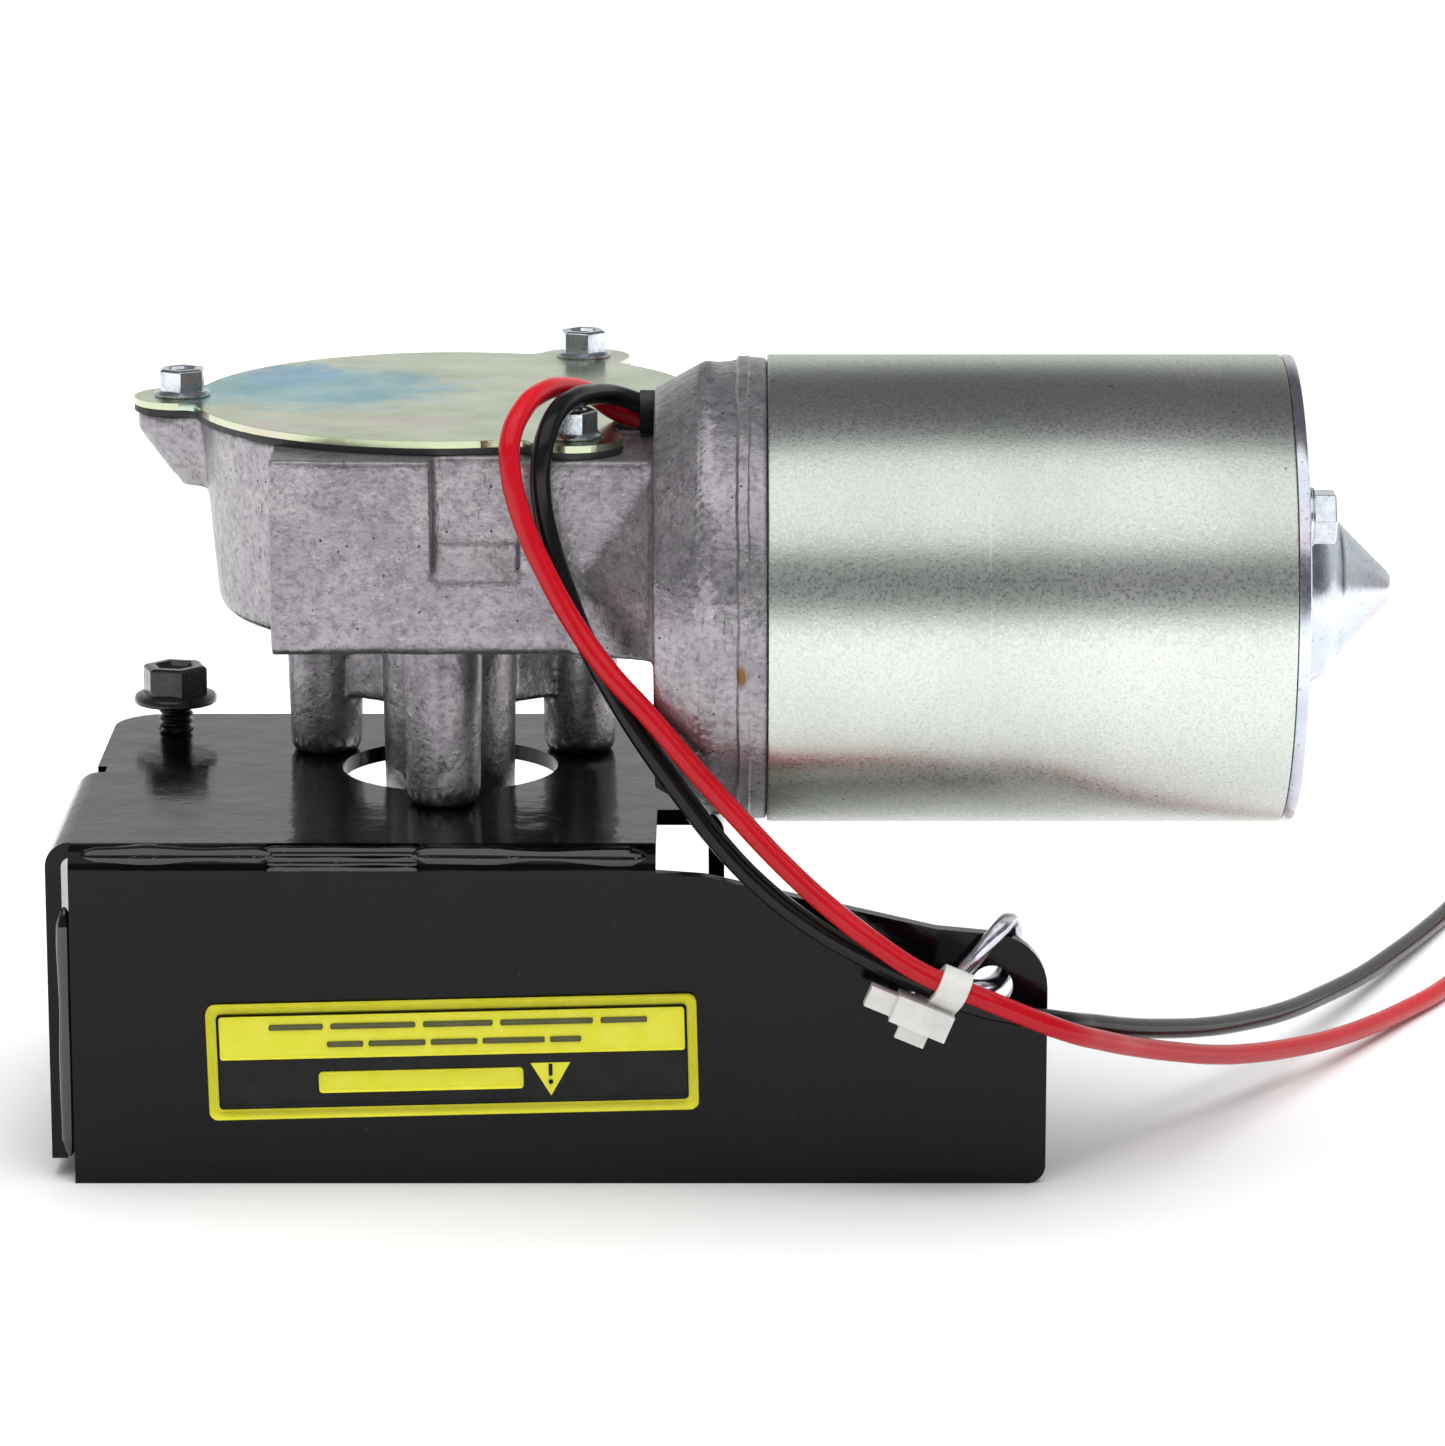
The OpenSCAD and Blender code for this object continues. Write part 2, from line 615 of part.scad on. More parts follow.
module armature_core() {
  color([0.45, 0.45, 0.47]) place() along_x(core_x) difference() {
    cylinder(r = core_r, h = core_len);
    translate([0, 0, -1]) cylinder(r = motor_shaft_r + 0.01, h = core_len + 2);
    for (i = [0:slot_count - 1]) rotate(360 * i / slot_count) {
      translate([slot_circle_r, 0, -1]) cylinder(r = slot_r, h = core_len + 2, $fn = 24);
      translate([slot_circle_r, -0.8, -1]) cube([core_r, 1.6, core_len + 2]);
    }
  }
}

module windings() {
  bundle_h = 7;
  bundle_in = motor_shaft_r + 5;
  bundle_out = slot_circle_r + 1.8;
  round_by = 2;
  profile = concat(
    [[bundle_in, 0], [bundle_out, 0]],
    arc([bundle_out - round_by, bundle_h - round_by], round_by, 0, 90, 4),
    arc([bundle_in + round_by, bundle_h - round_by], round_by, 90, 180, 4)
  );
  color([0.72, 0.38, 0.16]) place() {
    along_x(core_x + core_len) rotate_extrude() polygon(profile);
    along_x(core_x) mirror([0, 0, 1]) rotate_extrude() polygon(profile);
    for (i = [0:slot_count - 1]) along_x(core_x - 0.5) rotate(360 * i / slot_count)
      translate([slot_circle_r, 0, 0]) cylinder(r = slot_r - 0.05, h = core_len + 1, $fn = 24);
  }
}

module commutator() {
  segments = 12;
  color([0.8, 0.5, 0.25]) place() difference() {
    ring_x(commutator_x, commutator_len, commutator_r, motor_shaft_r + 0.01);
    for (i = [0:segments - 1]) along_x(commutator_x - 1) rotate(360 * i / segments)
      translate([commutator_r - 1.5, -0.3, 0]) cube([3, 0.6, commutator_len - 1]);
  }
}

module front_bearing() {
  color("silver") place() ring_x(bearing_x, bearing_len, bearing_outer_r, motor_shaft_r + running_gap);
}

module rear_bush() {
  color([0.6, 0.45, 0.25]) place()
    ring_x(rear_bush_x, rear_bush_len, rear_bush_r, motor_shaft_r + running_gap);
}

module brush_card() {
  holder_w = brush_w + 3;
  holder_in = commutator_r + 2.5;
  holder_len = tube_inner_r - 3 - holder_in;
  slot_w = brush_w + 0.2;
  color([0.35, 0.22, 0.12]) place() difference() {
    union() {
      ring_x(card_x, card_t, tube_inner_r - 0.3, commutator_r + 1.5);
      for (s = [-1, 1]) translate([card_x, s > 0 ? holder_in : -holder_in - holder_len, -holder_w / 2])
        cube([brush_w + 3, holder_len, holder_w]);
    }
    for (s = [-1, 1]) translate([card_x + card_t, s > 0 ? 0 : -tube_r, -slot_w / 2])
      cube([slot_w, tube_r, slot_w]);
    at_bolts(card_x - 1) cylinder(r = bolt_r + 0.5, h = card_t + 8);
    along_x(card_x - 1) cylinder(r = commutator_r + 0.5, h = 12);
  }
}

module brushes() {
  near = commutator_r + 0.05;
  color([0.12, 0.12, 0.13]) place() for (s = [-1, 1])
    translate([card_x + card_t + 0.1, s > 0 ? near : -near - brush_len, -brush_w / 2])
      cube([brush_w, brush_len, brush_w]);
}

module brush_springs() {
  spring_r = 1.9;
  start = commutator_r + 0.05 + brush_len;
  color([0.7, 0.7, 0.72]) place() for (s = [-1, 1])
    translate([card_x + card_t + 0.1 + brush_w / 2, s * start, 0]) rotate([-90 * s, 0, 0])
      for (i = [0:4]) translate([0, 0, 0.4 + 1.9 * i]) rotate_extrude()
        translate([spring_r, 0]) circle(r = 0.4, $fn = 16);
}

// Thread ridge of the worm, a right-hand helix rising out of the core
module worm_thread() {
  steps = 20;
  turns = (worm_len - gear_lead) / gear_lead;
  count = round(turns * steps);
  half_pitch_t = gear_lead / 4 - backlash / 2;
  half_root = half_pitch_t + tooth_ded * tan(pressure_angle) + 0.05;
  half_tip = half_pitch_t - tooth_add * tan(pressure_angle);
  low_r = worm_root_r - 0.15;
  profile = [[-half_root, low_r], [-half_tip, worm_tip_r], [half_tip, worm_tip_r], [half_root, low_r]];
  x_start = gear_x - (count / 2) * gear_lead / steps;
  points = [for (i = [0:count]) let (a = 360 * (i - count / 2) / steps, x = x_start + gear_lead * i / steps)
    for (p = profile) [x + p[0], p[1] * cos(a), p[1] * sin(a)]];
  faces = concat(
    [for (i = [0:count - 1]) for (k = [0:3])
      let (a = 4 * i, b = 4 * (i + 1), n = (k + 1) % 4) [a + k, a + n, b + n, b + k]],
    [[3, 2, 1, 0], [for (k = [0:3]) 4 * count + k]]
  );
  polyhedron(points = points, faces = faces);
}

module worm() {
  color([0.55, 0.56, 0.6]) place() difference() {
    union() {
      along_x(worm_x) cylinder(r = worm_root_r, h = worm_len);
      worm_thread();
    }
    along_x(worm_x - 1) cylinder(r = worm_bore_r + 0.01, h = worm_len + 2);
  }
}

module thrust_ball() {
  color("silver") place() translate([worm_shaft_end - ball_r - 0.05, 0, 0]) sphere(r = ball_r);
}

module thrust_pad() {
  color([0.3, 0.3, 0.32]) place() along_x(tunnel_end_x) cylinder(r = tunnel_r - 0.05, h = pad_t);
}

// Involute flank of the wheel: polar angle from the tooth's centre line at radius r
base_r = wheel_pitch_r * cos(pressure_angle);
function involute(r) = let (a = acos(base_r / r)) tan(a) - a * PI / 180;
tooth_half = (gear_lead / 4 - backlash / 2) / wheel_pitch_r;
function flank_angle(r) = (tooth_half + involute(wheel_pitch_r) - involute(r)) * 180 / PI;
root_r = max(wheel_pitch_r - tooth_ded, base_r + 0.01);
flank_radii = [root_r, wheel_pitch_r - 0.2, wheel_tip_r];

module worm_wheel() {
  rise = lead_angle_tan * wheel_face / wheel_pitch_r * 180 / PI;
  pitch_angle = 360 / wheel_teeth;
  tooth = concat(
    [for (r = flank_radii) [r, -flank_angle(r)]],
    [for (k = [2:-1:0]) [flank_radii[k], flank_angle(flank_radii[k])]]
  );
  outline = [for (i = [0:wheel_teeth - 1]) let (mid = -90 + (i + 0.5) * pitch_angle)
    for (p = tooth) p[0] * [cos(mid + p[1]), sin(mid + p[1])]];
  color([0.86, 0.85, 0.78]) place() at_output() difference() {
    rotate(-rise / 2) translate([0, 0, -wheel_face / 2])
      linear_extrude(wheel_face, twist = -rise, slices = 3) polygon(outline);
    translate([0, 0, -wheel_face]) cylinder(r = hub_r + 0.01, h = 2 * wheel_face);
  }
}

module wheel_hub() {
  hub_neck_r = 9.5;
  color([0.5, 0.5, 0.52]) place() at_output() difference() {
    union() {
      translate([0, 0, hub_bottom]) cylinder(r = hub_neck_r, h = hub_top - hub_bottom);
      translate([0, 0, -wheel_face / 2]) cylinder(r = hub_r, h = wheel_face);
    }
    translate([0, 0, hub_bottom - 1]) cylinder(r = output_shaft_r + 0.01, h = hub_top - hub_bottom + 2);
  }
}

shaft_bottom = plate_top - 34;
sprocket_z = plate_top - 18.5;
sprocket_hub_h = 8;
ring_z_at = sprocket_z - 4.6;
flat_at = output_shaft_r - 1;

module output_shaft() {
  color("silver") place() at_output() difference() {
    translate([0, 0, shaft_bottom]) cylinder(r = output_shaft_r, h = hub_top - 1 - shaft_bottom);
    translate([flat_at, -output_shaft_r, sprocket_z - 3]) cube([5, 2 * output_shaft_r, 9]);
    translate([0, 0, ring_z_at]) difference() {
      cylinder(r = output_shaft_r + 1, h = 1.3);
      translate([0, 0, -1]) cylinder(r = output_shaft_r - 0.5, h = 4);
    }
  }
}

module upper_bush() {
  color([0.7, 0.52, 0.28]) place()
    ring_z(cavity_floor - bush_len, bush_len, bush_outer_r, output_shaft_r + running_gap);
}

module lower_bush() {
  color([0.7, 0.52, 0.28]) place()
    ring_z(plate_top - boss_below, bush_len, bush_outer_r, output_shaft_r + running_gap);
}

module thrust_washer() {
  color([0.8, 0.8, 0.8]) place() ring_z(cavity_floor, washer_t, 12, output_shaft_r + 0.3);
}

module sprocket() {
  teeth = 8;
  pitch = 12.7;
  seat_r = 4;
  blade_t = 2.9;
  pitch_circle_r = pitch / (2 * sin(180 / teeth));
  color([0.35, 0.35, 0.37]) place() at_output(sprocket_z) difference() {
    union() {
      linear_extrude(blade_t) difference() {
        circle(r = pitch_circle_r + 2.4);
        for (i = [0:teeth - 1]) rotate(360 * (i + 0.5) / teeth) translate([pitch_circle_r, 0]) {
          circle(r = seat_r, $fn = 32);
          polygon([[0, -seat_r], [6, -seat_r - 4.4], [6, seat_r + 4.4], [0, seat_r]]);
        }
      }
      translate([0, 0, -2.5]) cylinder(r = output_shaft_r + 3.5, h = sprocket_hub_h);
    }
    difference() {
      translate([0, 0, -4]) cylinder(r = output_shaft_r + 0.02, h = 3 * sprocket_hub_h);
      translate([flat_at + 0.02, -output_shaft_r, -5]) cube([5, 2 * output_shaft_r, 3 * sprocket_hub_h]);
    }
  }
}

module retaining_ring() {
  color([0.3, 0.3, 0.3]) place() at_output(ring_z_at + 0.05) difference() {
    cylinder(r = output_shaft_r + 2.2, h = 1.2);
    translate([0, 0, -1]) cylinder(r = output_shaft_r - 0.45, h = 4);
    translate([0, -2, -1]) cube([output_shaft_r + 4, 4, 4]);
  }
}

module caution_label() {
  label_w = 79;
  label_h = 19;
  label_t = 0.2;
  label_mid = [gear_x + 2.5, floor_z + 21.5];
  tilt = -1.4;
  color([0.9, 0.85, 0.1]) place() translate([label_mid[0], -bracket_front, label_mid[1]])
    rotate([90, tilt, 0]) translate([-label_w / 2, -label_h / 2, 0]) cube([label_w, label_h, label_t]);
}

// Bent wire link through the ear's hole and over the flange's edge
module hook_link() {
  wire_r = 1.5;
  hx = ear_hole_at[0];
  hz = ear_hole_at[1];
  front = -bracket_front - wire_r - 0.25;
  back = -bracket_front + sheet_t + wire_r + 0.4;
  mid = (front + back) / 2;
  over = shoulder_z + wire_r + 0.35;
  route = [
    [hx + 2.5, mid, over + 0.2], [hx + 1.6, front + 0.9, over - 0.2], [hx - 0.2, front, over - 2.2],
    [hx - 4, front, over - 6.6], [hx - 8, front, over - 11.2], [hx - 11.6, front, over - 15.2],
    [hx - 13.6, front, over - 16.8], [hx - 15.2, front, over - 15.6], [hx - 14.6, front, over - 13.4],
    [hx - 12.2, front, over - 11.4], [hx - 8.4, front, over - 11 + 0.2], [hx - 4.6, front, hz + 0.4],
    [hx - 1.6, front + 0.7, hz - 0.1], [hx + 0.1, mid, hz - 0.1], [hx + 1.5, back - 1, hz + 0.2],
    [hx + 3, back, hz + 2.4], [hx + 3.8, back, hz + 5.4], [hx + 3.5, back - 0.7, over - 0.4]
  ];
  shut = unit(route[1] - route[len(route) - 1]);
  open = unit(route[0] - route[len(route) - 2]);
  color([0.7, 0.74, 0.78]) place() swept_tube(route, wire_r, 10, shut, open, closed = true);
}

// Cable tie round both leads: strap, head, tab and cut tail, in a frame that runs along the leads
tie_at = [36.2, -53.75, 34.85];
tie_slope = 23;
tie_w = 4.8;
strap_t = 1.1;
lead_split = [1.75, 1.2];

module round_leads(r) {
  hull() for (s = [-1, 1]) translate(s * [-lead_split[0], lead_split[1]]) circle(r = r, $fn = 32);
}

module cable_tie() {
  head = [9.6, 5, 4.6];
  strap_in = lead_r + 0.1;
  color([0.93, 0.92, 0.86]) translate(tied(tie_at)) rotate([0, tie_slope, 0]) {
    translate([-tie_w / 2, 0, 0]) rotate([90, 0, 90]) linear_extrude(tie_w) difference() {
      round_leads(strap_in + strap_t);
      round_leads(strap_in);
    }
    translate([-head[0] + tie_w / 2, -2.4, -head[2] - 3.4]) cube([head[0], head[1], head[2]]);
    translate([-head[0] + tie_w / 2 - 4.6, -1.6, -head[2] - 2.8]) cube([4.7, 2.6, 3.6]);
    translate([-head[0] + tie_w / 2 + 2, -1.2, -head[2] - 5.8]) cube([5, 1.2, 2.6]);
  }
}

module red_lead() {
  color([0.75, 0.05, 0.07]) swept_tube(tied_route(red_route), lead_r, 8, [-1, 0, 0], plug_axis);
}

module black_lead() {
  color([0.08, 0.08, 0.08]) swept_tube(tied_route(black_route), lead_r, 8, [-1, 0, 0], plug_axis);
}

// Two-way connector on the leads' far end, lying on the floor
plug_at = [155, 158, 0];
plug_size = [21, 12.4, 7.2];
cell = 4.1;

module in_plug() {
  translate(tied(plug_at)) rotate([0, 0, plug_turn]) children();
}

module lead_connector() {
  depth = 9;
  color([0.92, 0.91, 0.86]) in_plug() difference() {
    union() {
      translate([0, -plug_size[1] / 2, 0]) cube(plug_size);
      translate([5, -1.6, plug_size[2] - 0.1]) cube([11, 3.2, 1.7]);
    }
    for (s = [-1, 1]) translate([plug_size[0] - depth, 2.55 * s - cell / 2, 3.5 - cell / 2])
      cube([depth + 1, cell, cell]);
  }
}

module connector_terminals() {
  color([0.8, 0.78, 0.7]) in_plug() for (s = [-1, 1])
    translate([plug_size[0] - 9, 2.55 * s - 1.2, 3.5 - 1.2]) cube([7.5, 2.4, 2.4]);
}

bracket();
bracket_flange_screw();
leg_screws();
gear_case();
cover_gasket();
cover_plate();
cover_screws();
motor_tube();
end_plate();
through_bolts();
grommet();
magnets();
armature_shaft();
armature_core();
windings();
commutator();
front_bearing();
rear_bush();
brush_card();
brushes();
brush_springs();
worm();
thrust_ball();
thrust_pad();
worm_wheel();
wheel_hub();
output_shaft();
upper_bush();
lower_bush();
thrust_washer();
sprocket();
retaining_ring();
caution_label();
hook_link();
cable_tie();
red_lead();
black_lead();
lead_connector();
connector_terminals();
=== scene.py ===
import math

import bpy
from mathutils import Matrix, Vector, noise


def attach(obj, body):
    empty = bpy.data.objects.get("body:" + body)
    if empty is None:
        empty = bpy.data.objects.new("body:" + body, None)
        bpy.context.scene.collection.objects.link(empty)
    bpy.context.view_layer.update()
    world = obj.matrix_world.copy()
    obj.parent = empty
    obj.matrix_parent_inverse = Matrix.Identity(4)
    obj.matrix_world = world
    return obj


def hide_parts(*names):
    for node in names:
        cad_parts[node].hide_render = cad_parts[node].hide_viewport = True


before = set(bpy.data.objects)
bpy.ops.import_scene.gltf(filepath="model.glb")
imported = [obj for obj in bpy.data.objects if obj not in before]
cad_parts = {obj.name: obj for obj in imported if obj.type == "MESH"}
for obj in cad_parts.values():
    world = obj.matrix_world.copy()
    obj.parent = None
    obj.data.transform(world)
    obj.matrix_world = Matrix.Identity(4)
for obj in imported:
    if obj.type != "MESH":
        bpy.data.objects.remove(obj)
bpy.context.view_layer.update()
scene = bpy.context.scene

# Camera: a long lens in front of the motor, looking down on it by about thirteen degrees.
lens_data = bpy.data.cameras.new("camera")
camera = bpy.data.objects.new("camera", lens_data)
scene.collection.objects.link(camera)
camera.location = (0, -0.98275, 0.2982)
camera.rotation_euler = (math.radians(76.7), 0, 0)
lens_data.sensor_fit = "HORIZONTAL"
lens_data.sensor_width = 36
lens_data.lens = 150.7
scene.camera = camera
scene.view_settings.view_transform = "Standard"
scene.view_settings.look = "None"


# Node helpers: one places a node and sets its values, the other joins sockets in pairs.
def add_node(tree, kind, **values):
    node = tree.nodes.new(kind)
    for key, value in values.items():
        if hasattr(node, key):
            setattr(node, key, value)
        else:
            node.inputs[key.replace("_", " ")].default_value = value
    return node


def join(tree, *pairs):
    for start, end in pairs:
        tree.links.new(start, end)


# Room: a bright table and a lit sheet behind it, a dark room in front and a mid grey one above.
world = bpy.data.worlds.new("room")
scene.world = world
world.use_nodes = True
sky = world.node_tree
sky.nodes.clear()
look = add_node(sky, "ShaderNodeTexCoord")
parts = add_node(sky, "ShaderNodeSeparateXYZ")
back = add_node(sky, "ShaderNodeMapRange")
back.inputs["From Min"].default_value = -0.35
back.inputs["From Max"].default_value = 0.5
low = add_node(sky, "ShaderNodeMapRange")
low.inputs["From Min"].default_value = 0.62
low.inputs["From Max"].default_value = 0.3
both = add_node(sky, "ShaderNodeMath", operation="MULTIPLY")
shade = add_node(sky, "ShaderNodeValToRGB")
shade.color_ramp.elements[0].color = (0.13, 0.13, 0.14, 1)
shade.color_ramp.elements[1].color = (0.78, 0.8, 0.78, 1)
glow = add_node(sky, "ShaderNodeBackground")
sky_out = add_node(sky, "ShaderNodeOutputWorld")
join(
    sky,
    (look.outputs["Generated"], parts.inputs[0]),
    (parts.outputs["Y"], back.inputs["Value"]),
    (parts.outputs["Z"], low.inputs["Value"]),
    (back.outputs[0], both.inputs[0]),
    (low.outputs[0], both.inputs[1]),
    (both.outputs[0], shade.inputs[0]),
    (shade.outputs[0], glow.inputs["Color"]),
    (glow.outputs[0], sky_out.inputs[0]),
)


# Lamps: one broad panel overhead, and a soft fill that the metal doesn't mirror.
def panel(name, place, width, depth, watts, aim):
    bpy.ops.object.light_add(type="AREA", location=place)
    lamp = bpy.context.object
    lamp.name = name
    lamp.data.shape = "RECTANGLE"
    lamp.data.size = width
    lamp.data.size_y = depth
    lamp.data.energy = watts
    lamp.rotation_euler = (Vector(aim) - Vector(place)).to_track_quat("-Z", "Y").to_euler()
    return lamp


panel("overhead_panel", (0, -0.8, 1.3), 2.8, 1.5, 15, (0, 0, 0.1))
fill = panel("table_fill", (0.3, 0.3, 2.4), 2.8, 2.8, 75, (0, 0, 0))
fill.visible_glossy = False

# Table: a plain pale sheet, wide enough to fill the view behind the object.
bpy.ops.mesh.primitive_plane_add(size=12, location=(0, 2, 0))
table = bpy.context.object
bpy.ops.object.transform_apply(location=True)
table.name = "table"
paper = bpy.data.materials.new("pale_paper")
paper.use_nodes = True
paper_tree = paper.node_tree
paper_shader = paper_tree.nodes["Principled BSDF"]
paper_shader.inputs["Base Color"].default_value = (0.93, 0.93, 0.93, 1)
paper_shader.inputs["Roughness"].default_value = 0.8
paper_shader.inputs["Emission Color"].default_value = (1, 1, 1, 1)
# Painted light: the sheet glows, from nothing 0.12 m from the object up to 0.4 at 0.5 m out, so the far
# table reads white.
away = add_node(paper_tree, "ShaderNodeTexCoord")
reach = add_node(paper_tree, "ShaderNodeVectorMath", operation="LENGTH")
painted_glow = add_node(paper_tree, "ShaderNodeMapRange")
painted_glow.inputs["From Min"].default_value = 0.12
painted_glow.inputs["From Max"].default_value = 0.5
painted_glow.inputs["To Max"].default_value = 0.4
join(
    paper_tree,
    (away.outputs["Object"], reach.inputs[0]),
    (reach.outputs["Value"], painted_glow.inputs["Value"]),
    (painted_glow.outputs[0], paper_shader.inputs["Emission Strength"]),
)
table.data.materials.append(paper)


# Surface effects that several finishes share: cloudy patches, round specks and one ragged blot.
def effect_group(name, inputs, outputs):
    tree = bpy.data.node_groups.new(name, "ShaderNodeTree")
    for label, kind, value in inputs:
        socket = tree.interface.new_socket(label, in_out="INPUT", socket_type=kind)
        socket.default_value = value
    for label, kind in outputs:
        tree.interface.new_socket(label, in_out="OUTPUT", socket_type=kind)
    return tree, tree.nodes.new("NodeGroupInput"), tree.nodes.new("NodeGroupOutput")


clouds, given, result = effect_group(
    "clouds",
    [
        ("Scale", "NodeSocketFloat", 100.0),
        ("Stretch", "NodeSocketVector", (1.0, 1.0, 1.0)),
        ("Low", "NodeSocketFloat", 0.4),
        ("High", "NodeSocketFloat", 0.6),
    ],
    [("Mask", "NodeSocketFloat")],
)
place = add_node(clouds, "ShaderNodeTexCoord")
spread = add_node(clouds, "ShaderNodeVectorMath", operation="MULTIPLY")
cloud = add_node(clouds, "ShaderNodeTexNoise", Detail=4.0, Roughness=0.6)
limit = add_node(clouds, "ShaderNodeMapRange")
join(
    clouds,
    (place.outputs["Object"], spread.inputs[0]),
    (given.outputs["Stretch"], spread.inputs[1]),
    (spread.outputs[0], cloud.inputs["Vector"]),
    (given.outputs["Scale"], cloud.inputs["Scale"]),
    (cloud.outputs[0], limit.inputs["Value"]),
    (given.outputs["Low"], limit.inputs["From Min"]),
    (given.outputs["High"], limit.inputs["From Max"]),
    (limit.outputs[0], result.inputs["Mask"]),
)

specks, given, result = effect_group(
    "specks",
    [
        ("Scale", "NodeSocketFloat", 400.0),
        ("Size", "NodeSocketFloat", 0.25),
        ("Share", "NodeSocketFloat", 0.3),
    ],
    [("Mask", "NodeSocketFloat")],
)
place = add_node(specks, "ShaderNodeTexCoord")
cells = add_node(specks, "ShaderNodeTexVoronoi")
inside = add_node(specks, "ShaderNodeMath", operation="LESS_THAN")
tint = add_node(specks, "ShaderNodeSeparateColor")
chosen = add_node(specks, "ShaderNodeMath", operation="LESS_THAN")
kept = add_node(specks, "ShaderNodeMath", operation="MULTIPLY")
join(
    specks,
    (place.outputs["Object"], cells.inputs["Vector"]),
    (given.outputs["Scale"], cells.inputs["Scale"]),
    (cells.outputs["Distance"], inside.inputs[0]),
    (given.outputs["Size"], inside.inputs[1]),
    (cells.outputs["Color"], tint.inputs[0]),
    (tint.outputs[0], chosen.inputs[0]),
    (given.outputs["Share"], chosen.inputs[1]),
    (inside.outputs[0], kept.inputs[0]),
    (chosen.outputs[0], kept.inputs[1]),
    (kept.outputs[0], result.inputs["Mask"]),
)


blot, given, result = effect_group(
    "blot",
    [("Centre", "NodeSocketVector", (0.0, 0.0, 0.0)), ("Reach", "NodeSocketVector", (0.01, 0.01, 0.01))],
    [("Mask", "NodeSocketFloat")],
)
place = add_node(blot, "ShaderNodeTexCoord")
gap = add_node(blot, "ShaderNodeVectorMath", operation="SUBTRACT")
scaled = add_node(blot, "ShaderNodeVectorMath", operation="DIVIDE")
far = add_node(blot, "ShaderNodeVectorMath", operation="LENGTH")
ragged = add_node(blot, "ShaderNodeTexNoise", Scale=160.0, Detail=5.0)
uneven = add_node(blot, "ShaderNodeMath", operation="ADD")
soft = add_node(blot, "ShaderNodeMapRange")
soft.inputs["From Min"].default_value = 1.55
soft.inputs["From Max"].default_value = 1.1
join(
    blot,
    (place.outputs["Object"], gap.inputs[0]),
    (given.outputs["Centre"], gap.inputs[1]),
    (gap.outputs[0], scaled.inputs[0]),
    (given.outputs["Reach"], scaled.inputs[1]),
    (scaled.outputs[0], far.inputs[0]),
    (place.outputs["Object"], ragged.inputs["Vector"]),
    (far.outputs["Value"], uneven.inputs[0]),
    (ragged.outputs[0], uneven.inputs[1]),
    (uneven.outputs[0], soft.inputs["Value"]),
    (soft.outputs[0], result.inputs["Mask"]),
)


def effect(tree, group, **values):
    node = tree.nodes.new("ShaderNodeGroup")
    node.node_tree = group
    for key, value in values.items():
        node.inputs[key].default_value = value
    return node.outputs["Mask"]


# A finish is one shader whose colour and roughness drift in patches, over a grain made by bumps.
class Finish:
    def __init__(self, name, metallic, ior=1.5, coat=0.0):
        self.material = bpy.data.materials.new(name)
        self.material.use_nodes = True
        self.tree = self.material.node_tree
        self.shader = self.tree.nodes["Principled BSDF"]
        self.shader.inputs["Metallic"].default_value = metallic
        self.shader.inputs["IOR"].default_value = ior
        self.shader.inputs["Coat Weight"].default_value = coat
        self.colour = None
        self.bumps = None

    def patches(self, mask, below, above=None):
        """Colour: the first call gives both colours, a later one lays its colour over where the mask is."""
        mix = add_node(self.tree, "ShaderNodeMix", data_type="RGBA")
        if self.colour is None:
            mix.inputs["A"].default_value = (*below, 1)
            mix.inputs["B"].default_value = (*above, 1)
        else:
            join(self.tree, (self.colour, mix.inputs["A"]))
            mix.inputs["B"].default_value = (*below, 1)
        self.colour = mix.outputs["Result"]
        join(self.tree, (mask, mix.inputs["Factor"]), (self.colour, self.shader.inputs["Base Color"]))
        return self

    def gloss(self, mask, low, high):
        spread = add_node(self.tree, "ShaderNodeMapRange")
        spread.inputs["To Min"].default_value = low
        spread.inputs["To Max"].default_value = high
        join(
            self.tree,
            (mask, spread.inputs["Value"]),
            (spread.outputs[0], self.shader.inputs["Roughness"]),
        )
        return self

    def relief(self, mask, depth, strength=1.0):
        bump = add_node(self.tree, "ShaderNodeBump", Strength=strength, Distance=depth)
        if self.bumps is not None:
            join(self.tree, (self.bumps, bump.inputs["Normal"]))
        join(
            self.tree,
            (mask, bump.inputs["Height"]),
            (bump.outputs[0], self.shader.inputs["Normal"]),
        )
        self.bumps = bump.outputs[0]
        return self

    def cloudy(self, scale, low, high, stretch=(1.0, 1.0, 1.0)):
        return effect(self.tree, clouds, Scale=scale, Stretch=stretch, Low=low, High=high)

    def specked(self, scale, size, share):
        return effect(self.tree, specks, Scale=scale, Size=size, Share=share)

    def blotted(self, centre, reach):
        return effect(self.tree, blot, Centre=centre, Reach=reach)


